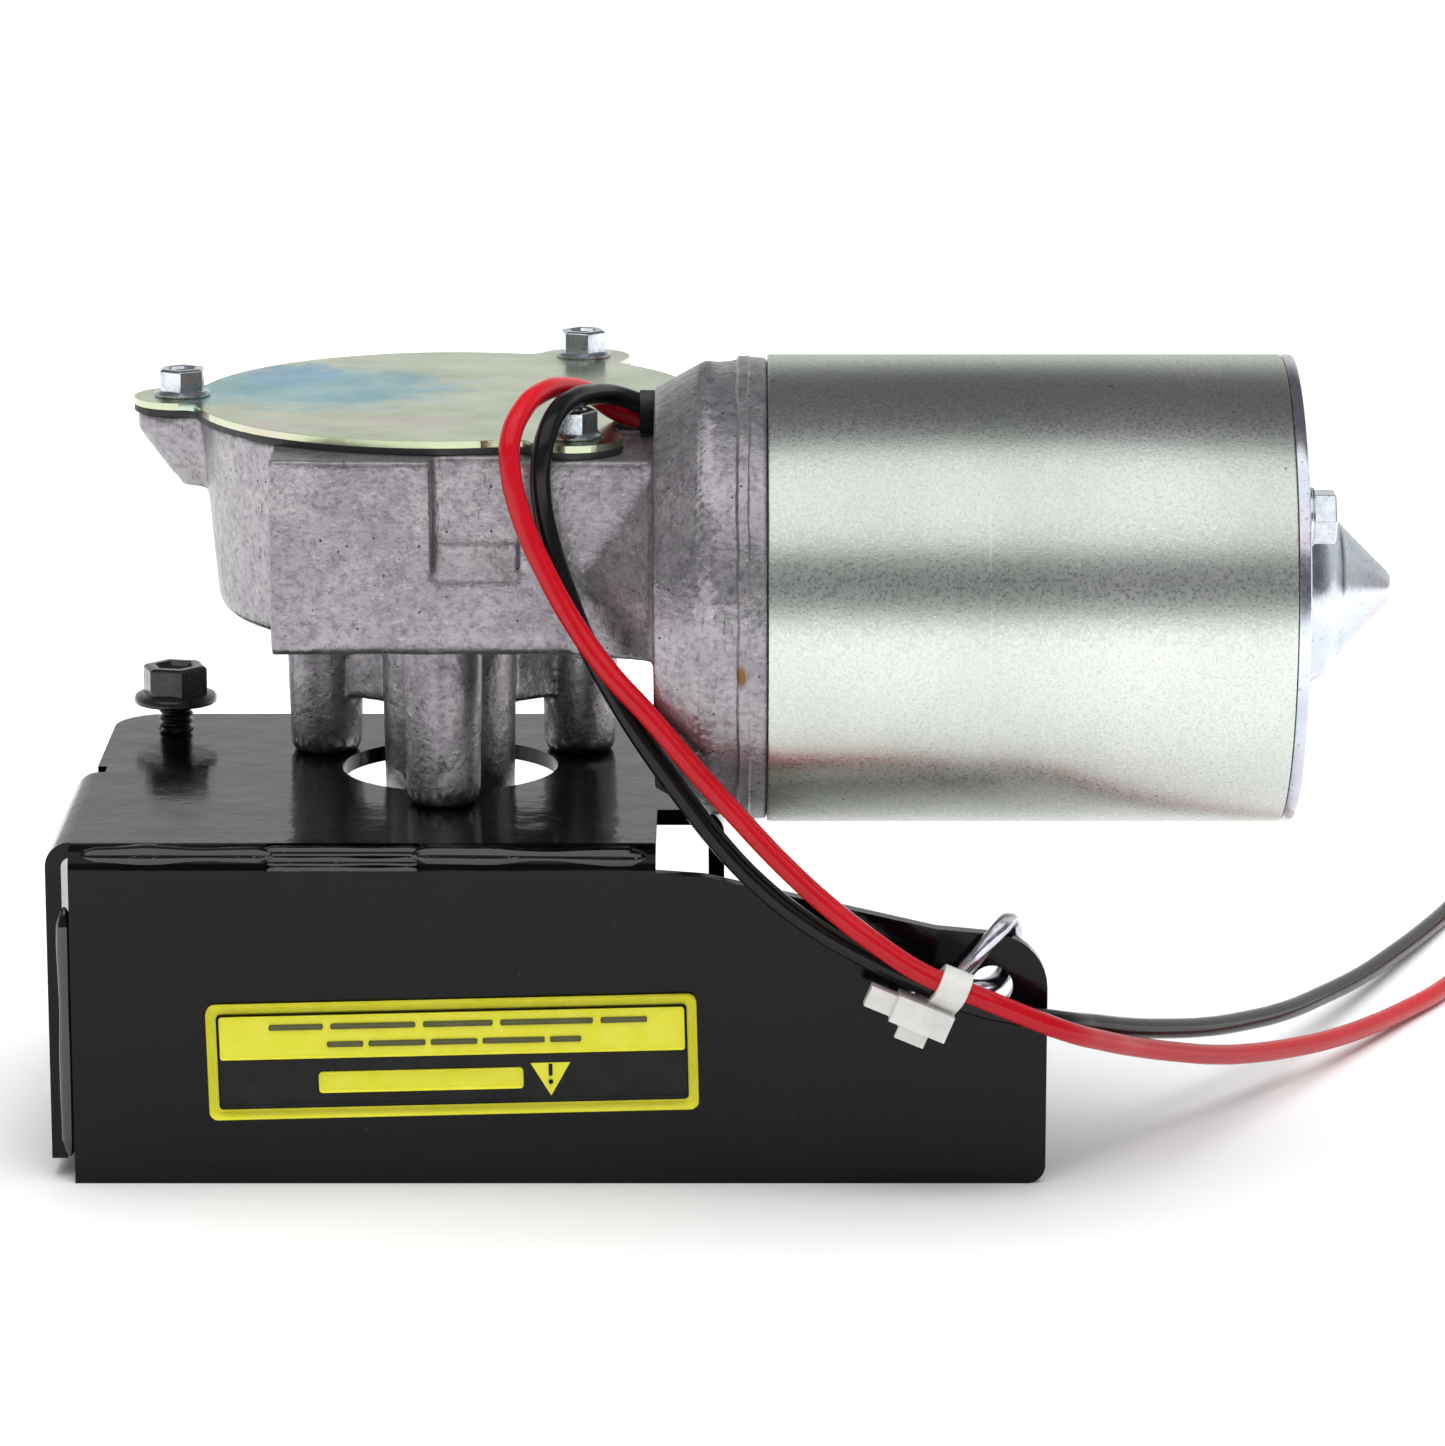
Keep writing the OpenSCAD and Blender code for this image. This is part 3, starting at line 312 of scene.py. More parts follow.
# Motor leads: two stranded copper wires in soft PVC, red and black, 3.4 mm thick. They leave the bell
# through the grommet, loop over the cover's front screw, share a cable tie and run to a free connector.
lead_width = 0.0034
red_route = [
    (-13.4, -12.9, 119.7), (-17.2, -13.1, 121.2), (-21, -16.2, 124.4), (-25, -23.3, 126.9),
    (-29, -32.3, 127.6), (-31.8, -38.6, 125.8), (-33.5, -42.2, 122), (-33.5, -43.3, 117),
    (-31.7, -44, 109.5), (-28, -45.2, 101), (-23.5, -46.6, 93), (-18, -48.8, 85.7),
    (-11.5, -50.5, 78.8), (-5, -51.5, 71.2), (2, -52.3, 63.4), (9.5, -53.4, 55.5),
    (17, -54.6, 48.7), (24.5, -55.4, 42.9), (32.1, -55.5, 37.9), (41.3, -55.5, 34),
    (47.5, -54.2, 31), (54.8, -51.8, 27.5), (61.7, -43.5, 23.4), (68, -33.2, 19.3),
    (75, -23, 15.5), (82, -12.7, 12), (89.5, -1.6, 9), (97.5, 10.3, 6.5),
    (105.6, 22.7, 4.5), (113.5, 35.7, 3.1), (121, 48.7, 2.2), (128, 61, 1.8),
    (134.3, 74.3, 1.8), (139.8, 88, 1.8), (144.5, 102.5, 1.8), (148.7, 117, 1.8),
    (152.2, 131, 2.3), (155, 144.5, 3), (157.4, 157.3, 3.5),
]
black_route = [
    (-13.4, -15.1, 122.8), (-17.2, -17.5, 124.5), (-20.8, -23.5, 125.8), (-23.8, -30, 126.2),
    (-26.3, -35.5, 125), (-27.9, -38.8, 122), (-28.8, -40.2, 117.5), (-28.7, -40.3, 111.5),
    (-27.3, -40.8, 104.5), (-24.8, -41.8, 97), (-21.8, -43.4, 89.5), (-17.5, -45.5, 81.8),
    (-12.5, -47.4, 74), (-7, -48.3, 66.3), (-1, -49.2, 58.5), (6, -50.4, 51.2),
    (14, -51.5, 45), (22.5, -52, 40), (31.1, -52, 35.7), (40.3, -52, 31.8),
    (47, -50.5, 29.8), (54, -47.4, 27.9), (60, -39.3, 25), (66.5, -29.3, 21.5),
    (73.5, -17.7, 18), (81, -4.7, 14.5), (89, 10.3, 11.2), (97.5, 27, 8.2),
    (106, 45.6, 5.8), (114.5, 64.2, 4), (123, 84, 2.9), (131, 103.5, 2.1),
    (137.5, 120, 1.8), (143.3, 134.5, 2.3), (148.2, 147, 3), (152.5, 158.6, 3.5),
]


def insulation(name, deep, bright):
    skin = Finish(name, metallic=0.0, ior=1.34)
    skin.patches(skin.cloudy(45.0, 0.3, 0.7), deep, bright)
    skin.gloss(skin.cloudy(900.0, 0.3, 0.7), 0.14, 0.26)
    skin.relief(skin.cloudy(260.0, 0.2, 0.8), 0.00004, 0.5)
    return skin.material


def lead(name, route, finish):
    data = bpy.data.curves.new(name, "CURVE")
    data.dimensions = "3D"
    data.bevel_depth = lead_width / 2
    data.bevel_resolution = 5
    data.resolution_u = 8
    data.use_fill_caps = True
    line = data.splines.new("BEZIER")
    line.bezier_points.add(len(route) - 1)
    for point, at in zip(line.bezier_points, route):
        point.co = [c / 1000 for c in at]
        point.handle_left_type = point.handle_right_type = "AUTO"
    piece = bpy.data.objects.new(name, data)
    scene.collection.objects.link(piece)
    data.materials.append(finish)
    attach(piece, "housing")
    return piece


red_skin = insulation("red_insulation", (0.46, 0.003, 0.01), (0.58, 0.007, 0.018))
black_skin = insulation("black_insulation", (0.004, 0.0042, 0.0042), (0.009, 0.0095, 0.0095))
red = lead("lead_red", red_route, red_skin)
black = lead("lead_black", black_route, black_skin)
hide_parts("red_lead")
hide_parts("black_lead")


# Bracket: one piece of 2.6 mm steel sheet, cut, bent down at the front, left and right, and dipped in
# thick black gloss paint that rounds every edge and shows a slow wave and a little dust.
def only(piece):
    bpy.ops.object.select_all(action="DESELECT")
    piece.select_set(True)
    bpy.context.view_layer.objects.active = piece


def merged_copy(node, name, flat=1.0):
    piece = bpy.data.objects.new(name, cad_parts[node].data.copy())
    scene.collection.objects.link(piece)
    only(piece)
    bpy.ops.object.mode_set(mode="EDIT")
    bpy.ops.mesh.select_all(action="SELECT")
    bpy.ops.mesh.remove_doubles(threshold=0.000002)
    if flat:
        bpy.ops.mesh.dissolve_limited(angle_limit=math.radians(flat))
    bpy.ops.object.mode_set(mode="OBJECT")
    return piece


def soften(piece, width, segments=2, angle=28):
    only(piece)
    edge = piece.modifiers.new("soft_edges", "BEVEL")
    edge.width = width
    edge.segments = segments
    edge.limit_method = "ANGLE"
    edge.angle_limit = math.radians(angle)
    bpy.ops.object.modifier_apply(modifier=edge.name)
    bpy.ops.object.shade_smooth_by_angle(angle=math.radians(40))
    level = piece.modifiers.new("level_faces", "WEIGHTED_NORMAL")
    level.keep_sharp = True
    bpy.ops.object.modifier_apply(modifier=level.name)


def fit(piece, body, material, *nodes, slot=None):
    if material is not None:
        piece.data.materials.clear()
        piece.data.materials.append(material)
    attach(piece, body)
    if nodes:
        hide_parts(*nodes)


bracket = merged_copy("bracket", "painted_bracket")
soften(bracket, 0.0005, 3)
paint = Finish("black_gloss_paint", metallic=0.0, ior=1.3)
paint.patches(paint.cloudy(30.0, 0.3, 0.7), (0.001, 0.001, 0.0014), (0.003, 0.0025, 0.0035))
paint.patches(paint.specked(520.0, 0.09, 0.04), (0.03, 0.03, 0.035))
paint.gloss(paint.cloudy(120.0, 0.35, 0.75), 0.1, 0.2)
paint.relief(paint.cloudy(55.0, 0.2, 0.8), 0.00035, 0.45)
paint.relief(paint.cloudy(420.0, 0.3, 0.8), 0.00003, 0.4)
fit(bracket, "housing", paint.material, "bracket", slot="black_paint")


def joined(name, pieces):
    only(pieces[0])
    for piece in pieces:
        piece.select_set(True)
    bpy.ops.object.join()
    pieces[0].name = name
    return pieces[0]


def paint_bead(name, start, end, thick, swell):
    run = Vector(end) - Vector(start)
    bpy.ops.object.select_all(action="DESELECT")
    bpy.ops.mesh.primitive_cylinder_add(vertices=20, radius=thick, depth=run.length, location=(0, 0, 0))
    bead = bpy.context.object
    bead.name = name
    cuts = int(run.length / 0.0005)
    bpy.ops.object.mode_set(mode="EDIT")
    bpy.ops.mesh.select_all(action="DESELECT")
    bpy.ops.object.mode_set(mode="OBJECT")
    for edge in bead.data.edges:
        a, b = (bead.data.vertices[i].co for i in edge.vertices)
        edge.select = abs(a.z - b.z) > run.length / 2
    bpy.ops.object.mode_set(mode="EDIT")
    bpy.ops.mesh.subdivide(number_cuts=cuts)
    bpy.ops.object.mode_set(mode="OBJECT")
    for point in bead.data.vertices:
        taper = min(1, (run.length / 2 - abs(point.co.z)) / 0.003)
        wave = 1 + swell * noise.noise(Vector((start[0] * 900, 3, point.co.z * 110)))
        point.co.x *= wave * max(0.02, taper) ** 0.5
        point.co.y *= wave * max(0.02, taper) ** 0.5
    middle = Matrix.Translation((Vector(start) + Vector(end)) / 2)
    bead.data.transform(middle @ run.to_track_quat("Z", "Y").to_matrix().to_4x4())
    bpy.ops.object.shade_smooth()
    return bead


gloss = Finish("thick_black_paint", metallic=0.0, ior=1.75)
gloss.patches(gloss.cloudy(30.0, 0.3, 0.7), (0.001, 0.001, 0.0014), (0.003, 0.0025, 0.0035))
gloss.gloss(gloss.cloudy(120.0, 0.35, 0.75), 0.06, 0.14)
gloss.relief(gloss.cloudy(160.0, 0.2, 0.8), 0.0003, 0.5)
beads = [
    paint_bead("bend_bead_left", (-0.1035, -0.0440, 0.0544), (-0.0715, -0.0440, 0.0544), 0.00155, 0.35),
    paint_bead("bend_bead_right", (-0.0505, -0.0440, 0.0545), (-0.0115, -0.0440, 0.0541), 0.00155, 0.35),
    paint_bead("slot_bead_upper", (-0.0745, -0.0436, 0.0549), (-0.0475, -0.0436, 0.0549), 0.0011, 0.4),
    paint_bead("slot_bead_middle", (-0.0745, -0.0441, 0.0534), (-0.0475, -0.0441, 0.0534), 0.0011, 0.7),
    paint_bead("slot_bead_lower", (-0.0745, -0.0445, 0.0519), (-0.0475, -0.0445, 0.0519), 0.0011, 0.4),
    paint_bead("corner_bead", (-0.1058, -0.0436, 0.0458), (-0.1058, -0.0436, 0.0040), 0.0014, 0.25),
]
fit(joined("paint_beads", beads), "housing", gloss.material, slot="black_paint")


# Flange screw of the bracket: a hexagon head on a wide flange, black oxide on rolled thread. It is
# turned into the plate's corner and left standing a few turns proud.
def turned(name, profile, steps=96):
    bpy.ops.object.select_all(action="DESELECT")
    bpy.ops.mesh.primitive_plane_add(size=0.001, location=(0, 0, 0))
    piece = bpy.context.object
    piece.name = name
    bpy.ops.object.mode_set(mode="EDIT")
    bpy.ops.mesh.select_all(action="SELECT")
    bpy.ops.mesh.merge(type="CENTER")
    bpy.ops.transform.translate(value=(profile[0][0], 0, profile[0][1]))
    for (r0, z0), (r1, z1) in zip(profile, profile[1:]):
        bpy.ops.mesh.extrude_region_move(TRANSFORM_OT_translate={"value": (r1 - r0, 0, z1 - z0)})
    bpy.ops.mesh.select_all(action="SELECT")
    bpy.ops.mesh.spin(steps=steps, angle=math.tau, center=(0, 0, 0), axis=(0, 0, 1))
    bpy.ops.mesh.select_all(action="SELECT")
    bpy.ops.mesh.remove_doubles(threshold=0.000001)
    bpy.ops.mesh.normals_make_consistent(inside=False)
    bpy.ops.object.mode_set(mode="OBJECT")
    bpy.ops.object.shade_smooth_by_angle(angle=math.radians(32))
    return piece


def hexagon(flats, foot, height, dish):
    bpy.ops.object.select_all(action="DESELECT")
    bpy.ops.mesh.primitive_cylinder_add(
        vertices=6, radius=flats / math.sqrt(3), depth=height, location=(0, 0, foot + height / 2)
    )
    nut = bpy.context.object
    bpy.ops.object.transform_apply(location=True, rotation=True, scale=True)
    bpy.ops.object.mode_set(mode="EDIT")
    bpy.ops.mesh.select_all(action="DESELECT")
    bpy.ops.object.mode_set(mode="OBJECT")
    for face in nut.data.polygons:
        face.select = face.normal.z > 0.9
    bpy.ops.object.mode_set(mode="EDIT")
    bpy.ops.mesh.inset(thickness=flats * 0.07)
    bpy.ops.transform.translate(value=(0, 0, flats * 0.035))
    bpy.ops.mesh.inset(thickness=flats * 0.12)
    bpy.ops.mesh.inset(thickness=flats * 0.05)
    bpy.ops.transform.translate(value=(0, 0, -dish))
    bpy.ops.object.mode_set(mode="OBJECT")
    nut.data.transform(Matrix.Translation((0, 0, -flats * 0.035)))
    soften(nut, 0.00016, 2, 20)
    return nut


def threaded(radius, length, pitch):
    turns = max(1, round(length / pitch))
    core, tip = radius * 0.84, -length
    rod = turned("rod", [(0, tip), (radius * 0.7, tip), (core, tip + 0.0006), (core, 0.0002)], 32)
    bpy.ops.object.select_all(action="DESELECT")
    bpy.ops.mesh.primitive_plane_add(size=0.001, location=(0, 0, 0))
    ridge = bpy.context.object
    bpy.ops.object.mode_set(mode="EDIT")
    bpy.ops.mesh.select_all(action="SELECT")
    bpy.ops.mesh.merge(type="CENTER")
    bpy.ops.transform.translate(value=(radius * 0.83, 0, -length))
    for out, up in ((0.15, 0.38), (0.02, 0.06), (0, 0.12), (-0.02, 0.06), (-0.15, 0.38)):
        bpy.ops.mesh.extrude_region_move(TRANSFORM_OT_translate={"value": (radius * out, 0, pitch * up)})
    bpy.ops.object.mode_set(mode="OBJECT")
    wind = ridge.modifiers.new("wind", "SCREW")
    wind.angle = math.tau * (turns - 1)
    wind.screw_offset = pitch * (turns - 1)
    wind.steps = wind.render_steps = 24 * (turns - 1)
    wind.iterations = 1
    only(ridge)
    bpy.ops.object.modifier_apply(modifier=wind.name)
    bpy.ops.object.mode_set(mode="EDIT")
    bpy.ops.mesh.select_all(action="SELECT")
    bpy.ops.mesh.normals_make_consistent(inside=False)
    bpy.ops.object.mode_set(mode="OBJECT")
    bpy.ops.object.shade_smooth_by_angle(angle=math.radians(50))
    return joined("thread", [rod, ridge])


def screw(name, flats, height, rim, rim_t, radius, length, pitch, dish):
    flange = turned(
        "flange",
        [
            (radius * 0.8, 0), (rim - 0.0002, 0), (rim, 0.0002), (rim, rim_t * 0.55),
            (rim - 0.00025, rim_t * 0.8), (flats * 0.6, rim_t), (0.0005, rim_t),
        ],
        72,
    )
    nut = hexagon(flats, rim_t * 0.9, height + rim_t * 0.1, dish)
    return joined(name, [flange, nut, threaded(radius, length, pitch)])


def set_at(piece, place, turn=(0, 0, 0)):
    over_x, over_y, over_z = (Matrix.Rotation(angle, 4, axis) for angle, axis in zip(turn, "XYZ"))
    piece.data.transform(Matrix.Translation(place) @ over_z @ over_y @ over_x)
    piece.data.update()
    return piece


flange_screw = screw("bracket_screw", 0.01, 0.0048, 0.0071, 0.0017, 0.00295, 0.0164, 0.00125, 0.0009)
set_at(flange_screw, (-0.0947, 0.03795, 0.0608), (0, 0, 0.3))
oxide = Finish("black_oxide", metallic=0.35, ior=1.6, coat=0.3)
oxide.patches(oxide.cloudy(300.0, 0.3, 0.7), (0.006, 0.006, 0.007), (0.018, 0.018, 0.02))
oxide.gloss(oxide.cloudy(700.0, 0.3, 0.7), 0.18, 0.38)
oxide.relief(oxide.cloudy(1400.0, 0.2, 0.8), 0.00003, 0.6)
fit(flange_screw, "housing", oxide.material, "bracket_flange_screw", slot="black_screw")

# Gear case: an aluminium pressure die casting with the gear pot, three screwed legs and the motor's
# bell in one. Its skin is dull and purplish, speckled by the die, with flash left along the parting.
case = merged_copy("gear_case", "cast_gear_case", flat=0)
only(case)
case.data.remesh_voxel_size = 0.00085
case.data.use_remesh_fix_poles = False
bpy.ops.object.voxel_remesh()
relax = case.modifiers.new("die_radii", "SMOOTH")
relax.factor = 0.5
relax.iterations = 4
bpy.ops.object.modifier_apply(modifier=relax.name)
if len(case.data.polygons) > 95000:
    thin = case.modifiers.new("fewer_faces", "DECIMATE")
    thin.ratio = 190000 / (2 * len(case.data.polygons))
    bpy.ops.object.modifier_apply(modifier=thin.name)
axis_y, axis_z = -0.01905, 0.093
outward = [point.normal.copy() for point in case.data.vertices]
skin = []
for point, away in zip(case.data.vertices, outward):
    x, y, z = point.co
    reach = math.hypot(y - axis_y, z - axis_z)
    if -0.0025 < x < 0.0074 and reach > 0.0355:
        sunk = 1 - 0.00035 * min(1, (x + 0.0025) / 0.002) / reach
        y, z = axis_y + (y - axis_y) * sunk, axis_z + (z - axis_z) * sunk
    push = noise.noise(point.co * 90) * 0.00012 + noise.noise(point.co * 350) * 0.00004
    skin.extend(Vector((x, y, z)) - away * abs(push))
case.data.vertices.foreach_set("co", skin)
case.data.update()
bpy.ops.object.shade_smooth()


def casting_finish():
    cast = Finish("die_cast_aluminium", metallic=0.82)
    cast.patches(cast.cloudy(70.0, 0.3, 0.7), (0.25, 0.232, 0.255), (0.44, 0.42, 0.44))
    cast.patches(cast.cloudy(380.0, 0.58, 0.8), (0.15, 0.14, 0.155))
    cast.patches(cast.cloudy(1500.0, 0.62, 0.74, (0.2, 1.0, 1.0)), (0.5, 0.49, 0.49))
    cast.patches(cast.cloudy(1500.0, 0.62, 0.74, (1.0, 1.0, 0.16)), (0.12, 0.11, 0.12))
    cast.patches(cast.cloudy(900.0, 0.48, 0.78), (0.16, 0.15, 0.162))
    cast.patches(cast.cloudy(1100.0, 0.6, 0.8, (1.0, 1.0, 1.3)), (0.52, 0.51, 0.51))
    cast.patches(cast.specked(700.0, 0.16, 0.08), (0.07, 0.065, 0.07))
    cast.patches(cast.blotted((0.0029, -0.0565, 0.0864), (0.0011, 0.002, 0.0022)), (0.2, 0.1, 0.04))
    cast.gloss(cast.cloudy(500.0, 0.3, 0.7), 0.24, 0.46)
    cast.relief(cast.cloudy(330.0, 0.2, 0.8), 0.00022, 0.55)
    cast.relief(cast.cloudy(1300.0, 0.2, 0.8), 0.00009, 0.6)
    return cast.material


casting = casting_finish()
fit(case, "housing", casting, "gear_case", slot="casting")

ridge = turned(
    "bell_parting_ridge",
    [
        (0.0368, 0.0020), (0.0376, 0.0024), (0.03795, 0.0027), (0.0379, 0.0035),
        (0.03798, 0.0041), (0.0377, 0.0045), (0.0368, 0.0048),
    ],
    360,
)
for point in ridge.data.vertices:
    out = Vector((point.co.x, point.co.y, 0)).normalized()
    point.co -= out * (0.00016 + 0.00016 * noise.noise(point.co * 420))
    point.co.z += 0.0003 * noise.noise(point.co * 130 + Vector((3, 5, 7)))
set_at(ridge, (0, axis_y, axis_z), (0, math.pi / 2, 0))
fit(ridge, "housing", casting, slot="casting")

# Gasket: a 1.1 mm rubber sheet with the cover's outline, its edge squeezed out round the joint.
gasket = merged_copy("cover_gasket", "case_gasket")
soften(gasket, 0.0003, 2)
rubber = Finish("black_rubber", metallic=0.0, ior=1.5)
rubber.patches(rubber.cloudy(150.0, 0.3, 0.7), (0.012, 0.012, 0.012), (0.03, 0.03, 0.032))
rubber.gloss(rubber.cloudy(500.0, 0.3, 0.7), 0.42, 0.65)
rubber.relief(rubber.cloudy(900.0, 0.2, 0.8), 0.00004, 0.7)
fit(gasket, "housing", rubber.material, "cover_gasket", slot="gasket_rubber")

# Cover: a stamped steel lid, yellow chromated over zinc, so it plays in green, gold, teal and pink. A
# sheared bright edge runs round it and fine scratches cross it.
cover = merged_copy("cover_plate", "case_cover")
soften(cover, 0.00022, 3)
chromate = Finish("yellow_chromate", metallic=1.0)
chromate.patches(chromate.cloudy(38.0, 0.35, 0.65, (0.5, 1.0, 1.0)), (0.5, 0.56, 0.36), (0.62, 0.66, 0.5))
chromate.patches(chromate.blotted((-0.068, 0.018, 0.12), (0.026, 0.022, 0.02)), (0.2, 0.48, 0.55))
chromate.patches(chromate.blotted((-0.073, 0.03, 0.12), (0.009, 0.012, 0.02)), (0.1, 0.38, 0.6))
chromate.patches(chromate.cloudy(24.0, 0.56, 0.68, (0.8, 1.4, 1.0)), (0.66, 0.54, 0.5))
chromate.gloss(chromate.cloudy(90.0, 0.3, 0.7), 0.17, 0.3)
chromate.relief(chromate.cloudy(35.0, 0.2, 0.8), 0.0003, 0.25)
chromate.relief(chromate.cloudy(2000.0, 0.2, 0.8), 0.00002, 0.4)
fit(cover, "housing", chromate.material, "cover_plate", slot="chromate")

# Cover screws, leg screws and through bolts: thread-forming M4 with hexagon washer heads, bright zinc
# with a blue cast. Three hold the lid, three hold the case's legs to the plate, two clamp the motor.
def zinc_finish(name, dark, light, rough):
    zinc = Finish(name, metallic=1.0)
    zinc.patches(zinc.cloudy(500.0, 0.3, 0.7), dark, light)
    zinc.patches(zinc.specked(900.0, 0.14, 0.2), [0.45 * c for c in dark])
    zinc.gloss(zinc.cloudy(1200.0, 0.3, 0.7), rough, rough + 0.14)
    zinc.relief(zinc.cloudy(2200.0, 0.2, 0.8), 0.00003, 0.5)
    return zinc.material


bright_zinc = zinc_finish("bright_zinc", (0.5, 0.54, 0.6), (0.78, 0.82, 0.86), 0.16)


def copied(piece, name):
    twin = bpy.data.objects.new(name, piece.data.copy())
    scene.collection.objects.link(twin)
    return twin


cover_screw = screw("cover_screw", 0.007, 0.0037, 0.0047, 0.0009, 0.002, 0.0133, 0.0007, 0.0007)
cover_circle_r, cover_top = 0.044, 0.1195
leg_circle_r, plate_under = 0.025, 0.0534
bolt_circle_r, bolt_lean, end_face = 0.03, 34, 0.0924


def round_shaft(radius, turn, height):
    return (-0.046 + radius * math.cos(turn), 0.01095 + radius * math.sin(turn), height)


screws = []
for number, angle in enumerate((180, 60, -60)):
    turn = math.radians(angle)
    one = copied(cover_screw, f"cover_screw_{number}")
    screws.append(set_at(one, round_shaft(cover_circle_r, turn, cover_top), (0, 0, turn + 0.2 * number)))
bpy.data.objects.remove(cover_screw)
cover_screws = joined("cover_screws_fitted", screws)
fit(cover_screws, "housing", bright_zinc, "cover_screws", slot="zinc")

leg_screw = screw("leg_screw", 0.007, 0.003, 0.0047, 0.001, 0.002, 0.0156, 0.0007, 0.0006)
screws = []
for number, angle in enumerate((-90, 30, 150)):
    turn = math.radians(angle)
    one = copied(leg_screw, f"leg_screw_{number}")
    screws.append(set_at(one, round_shaft(leg_circle_r, turn, plate_under), (math.pi, 0, 0.3 * number)))
bpy.data.objects.remove(leg_screw)
leg_screws = joined("leg_screws_fitted", screws)
fit(leg_screws, "housing", bright_zinc, "leg_screws", slot="zinc")

bolt = screw("bolt", 0.0079, 0.0036, 0.0049, 0.001, 0.002, 0.0942, 0.0007, 0.0008)
screws = []
for number, side in enumerate((0, 180)):
    turn = math.radians(side + 90 - bolt_lean)
    across, up = -bolt_circle_r * math.sin(turn), bolt_circle_r * math.cos(turn)
    one = copied(bolt, f"through_bolt_{number}")
    screws.append(set_at(one, (end_face, axis_y + across, axis_z + up), (0, math.pi / 2, 0)))
bpy.data.objects.remove(bolt)
through_bolts = joined("through_bolts_fitted", screws)
fit(through_bolts, "housing", bright_zinc, "through_bolts", slot="zinc")

# Motor tube: drawn steel tube, 76 mm outside, zinc plated after it was cut. Up close the plating is a
# fine bright grain with a green cast, crossed by scratches that run round and along the tube.
tube = turned(
    "motor_body_tube",
    [
        (0.0355, 0.0003), (0.0358, 0), (0.0376, 0), (0.03788, 0.00012), (0.038, 0.0004), (0.038, 0.0828),
        (0.03788, 0.08308), (0.0376, 0.0832), (0.0358, 0.0832), (0.0355, 0.0829), (0.0355, 0.0003),
    ],
    256,
)
set_at(tube, (0.0072, axis_y, axis_z), (0, math.pi / 2, 0))
plated = Finish("grained_zinc", metallic=1.0)
plated.patches(plated.cloudy(26.0, 0.35, 0.65, (1.0, 0.5, 0.5)), (0.6, 0.64, 0.58), (0.72, 0.745, 0.7))
plated.patches(plated.cloudy(2200.0, 0.45, 0.75), (0.5, 0.53, 0.5))
plated.patches(plated.cloudy(800.0, 0.7, 0.78, (1.0, 0.03, 0.03)), (0.8, 0.82, 0.8))
plated.patches(plated.cloudy(700.0, 0.72, 0.75, (0.02, 1.0, 1.0)), (0.34, 0.36, 0.35))
plated.patches(plated.specked(260.0, 0.09, 0.1), (0.28, 0.28, 0.27))
plated.gloss(plated.cloudy(1800.0, 0.35, 0.65), 0.24, 0.36)
plated.relief(plated.cloudy(2200.0, 0.25, 0.75), 0.00003, 0.5)
plated.relief(plated.cloudy(60.0, 0.2, 0.8), 0.0003, 0.12)
fit(tube, "housing", plated.material, "motor_tube", slot="motor_zinc")

# End plate: pressed steel, spigoted into the tube and clamped by the bolts. Its middle is drawn out
# into the rear bearing's housing, and a turned cone closes it; blue-bright zinc all over.
rear = turned(
    "motor_end_plate",
    [
        (0, 0.0907), (0.0335, 0.0907), (0.0335, 0.0889), (0.0354, 0.0889), (0.0354, 0.0904),
        (0.0377, 0.0904), (0.03792, 0.09052), (0.038, 0.0908), (0.038, 0.0918), (0.03785, 0.09222),
        (0.0375, 0.0924), (0.0174, 0.0924), (0.0168, 0.0926), (0.01655, 0.0931), (0.0163, 0.094),
        (0.0161, 0.0945), (0.0155, 0.0956), (0.0148, 0.0968), (0.0138, 0.0978), (0.0127, 0.0985),
        (0.0112, 0.0996), (0.01095, 0.1), (0.0108, 0.1003), (0.0102, 0.1008), (0.0034, 0.1076),
        (0.0029, 0.1081), (0.0021, 0.1086), (0, 0.109),
    ],
    192,
)
set_at(rear, (0, axis_y, axis_z), (0, math.pi / 2, 0))
end_zinc = Finish("blue_zinc", metallic=1.0)
end_zinc.patches(end_zinc.cloudy(120.0, 0.3, 0.7), (0.52, 0.57, 0.66), (0.74, 0.78, 0.83))
end_zinc.patches(end_zinc.cloudy(40.0, 0.52, 0.64), (0.66, 0.6, 0.68))
end_zinc.patches(end_zinc.cloudy(1400.0, 0.6, 0.7), (0.34, 0.37, 0.42))
end_zinc.gloss(end_zinc.cloudy(900.0, 0.3, 0.7), 0.14, 0.28)
end_zinc.relief(end_zinc.cloudy(1200.0, 0.2, 0.8, (1.0, 0.1, 0.1)), 0.00004, 0.6)
fit(rear, "housing", end_zinc.material, "end_plate", slot="end_zinc")

# Grommet: a moulded rubber sleeve pressed into the bell beside the lid, with a slot for both leads.
grommet = merged_copy("grommet", "lead_grommet")
soften(grommet, 0.0004, 3)
fit(grommet, "housing", rubber.material, "grommet", slot="gasket_rubber")

# Label: a 79 by 19 mm printed vinyl strip stuck on the front flange, a little out of true. It carries
# a plain yellow frame, a warning triangle and blank bars where a real one has words.
def slab(name, width, height, low, high, x, z, corner):
    bpy.ops.object.select_all(action="DESELECT")
    bpy.ops.mesh.primitive_cube_add(size=1, location=(0, 0, 0))
    piece = bpy.context.object
    piece.name = name
    piece.data.transform(Matrix.Diagonal((width, high - low, height, 1)))
    bpy.ops.object.mode_set(mode="EDIT")
    bpy.ops.mesh.select_all(action="DESELECT")
    bpy.ops.object.mode_set(mode="OBJECT")
    for edge in piece.data.edges:
        a, b = (piece.data.vertices[i].co for i in edge.vertices)
        edge.select = abs(a.y - b.y) > 1e-7
    bpy.ops.object.mode_set(mode="EDIT")
    bpy.ops.mesh.bevel(offset=corner, segments=6)
    bpy.ops.object.mode_set(mode="OBJECT")
    piece.data.transform(Matrix.Translation((x, -(low + high) / 2, z)))
    return piece


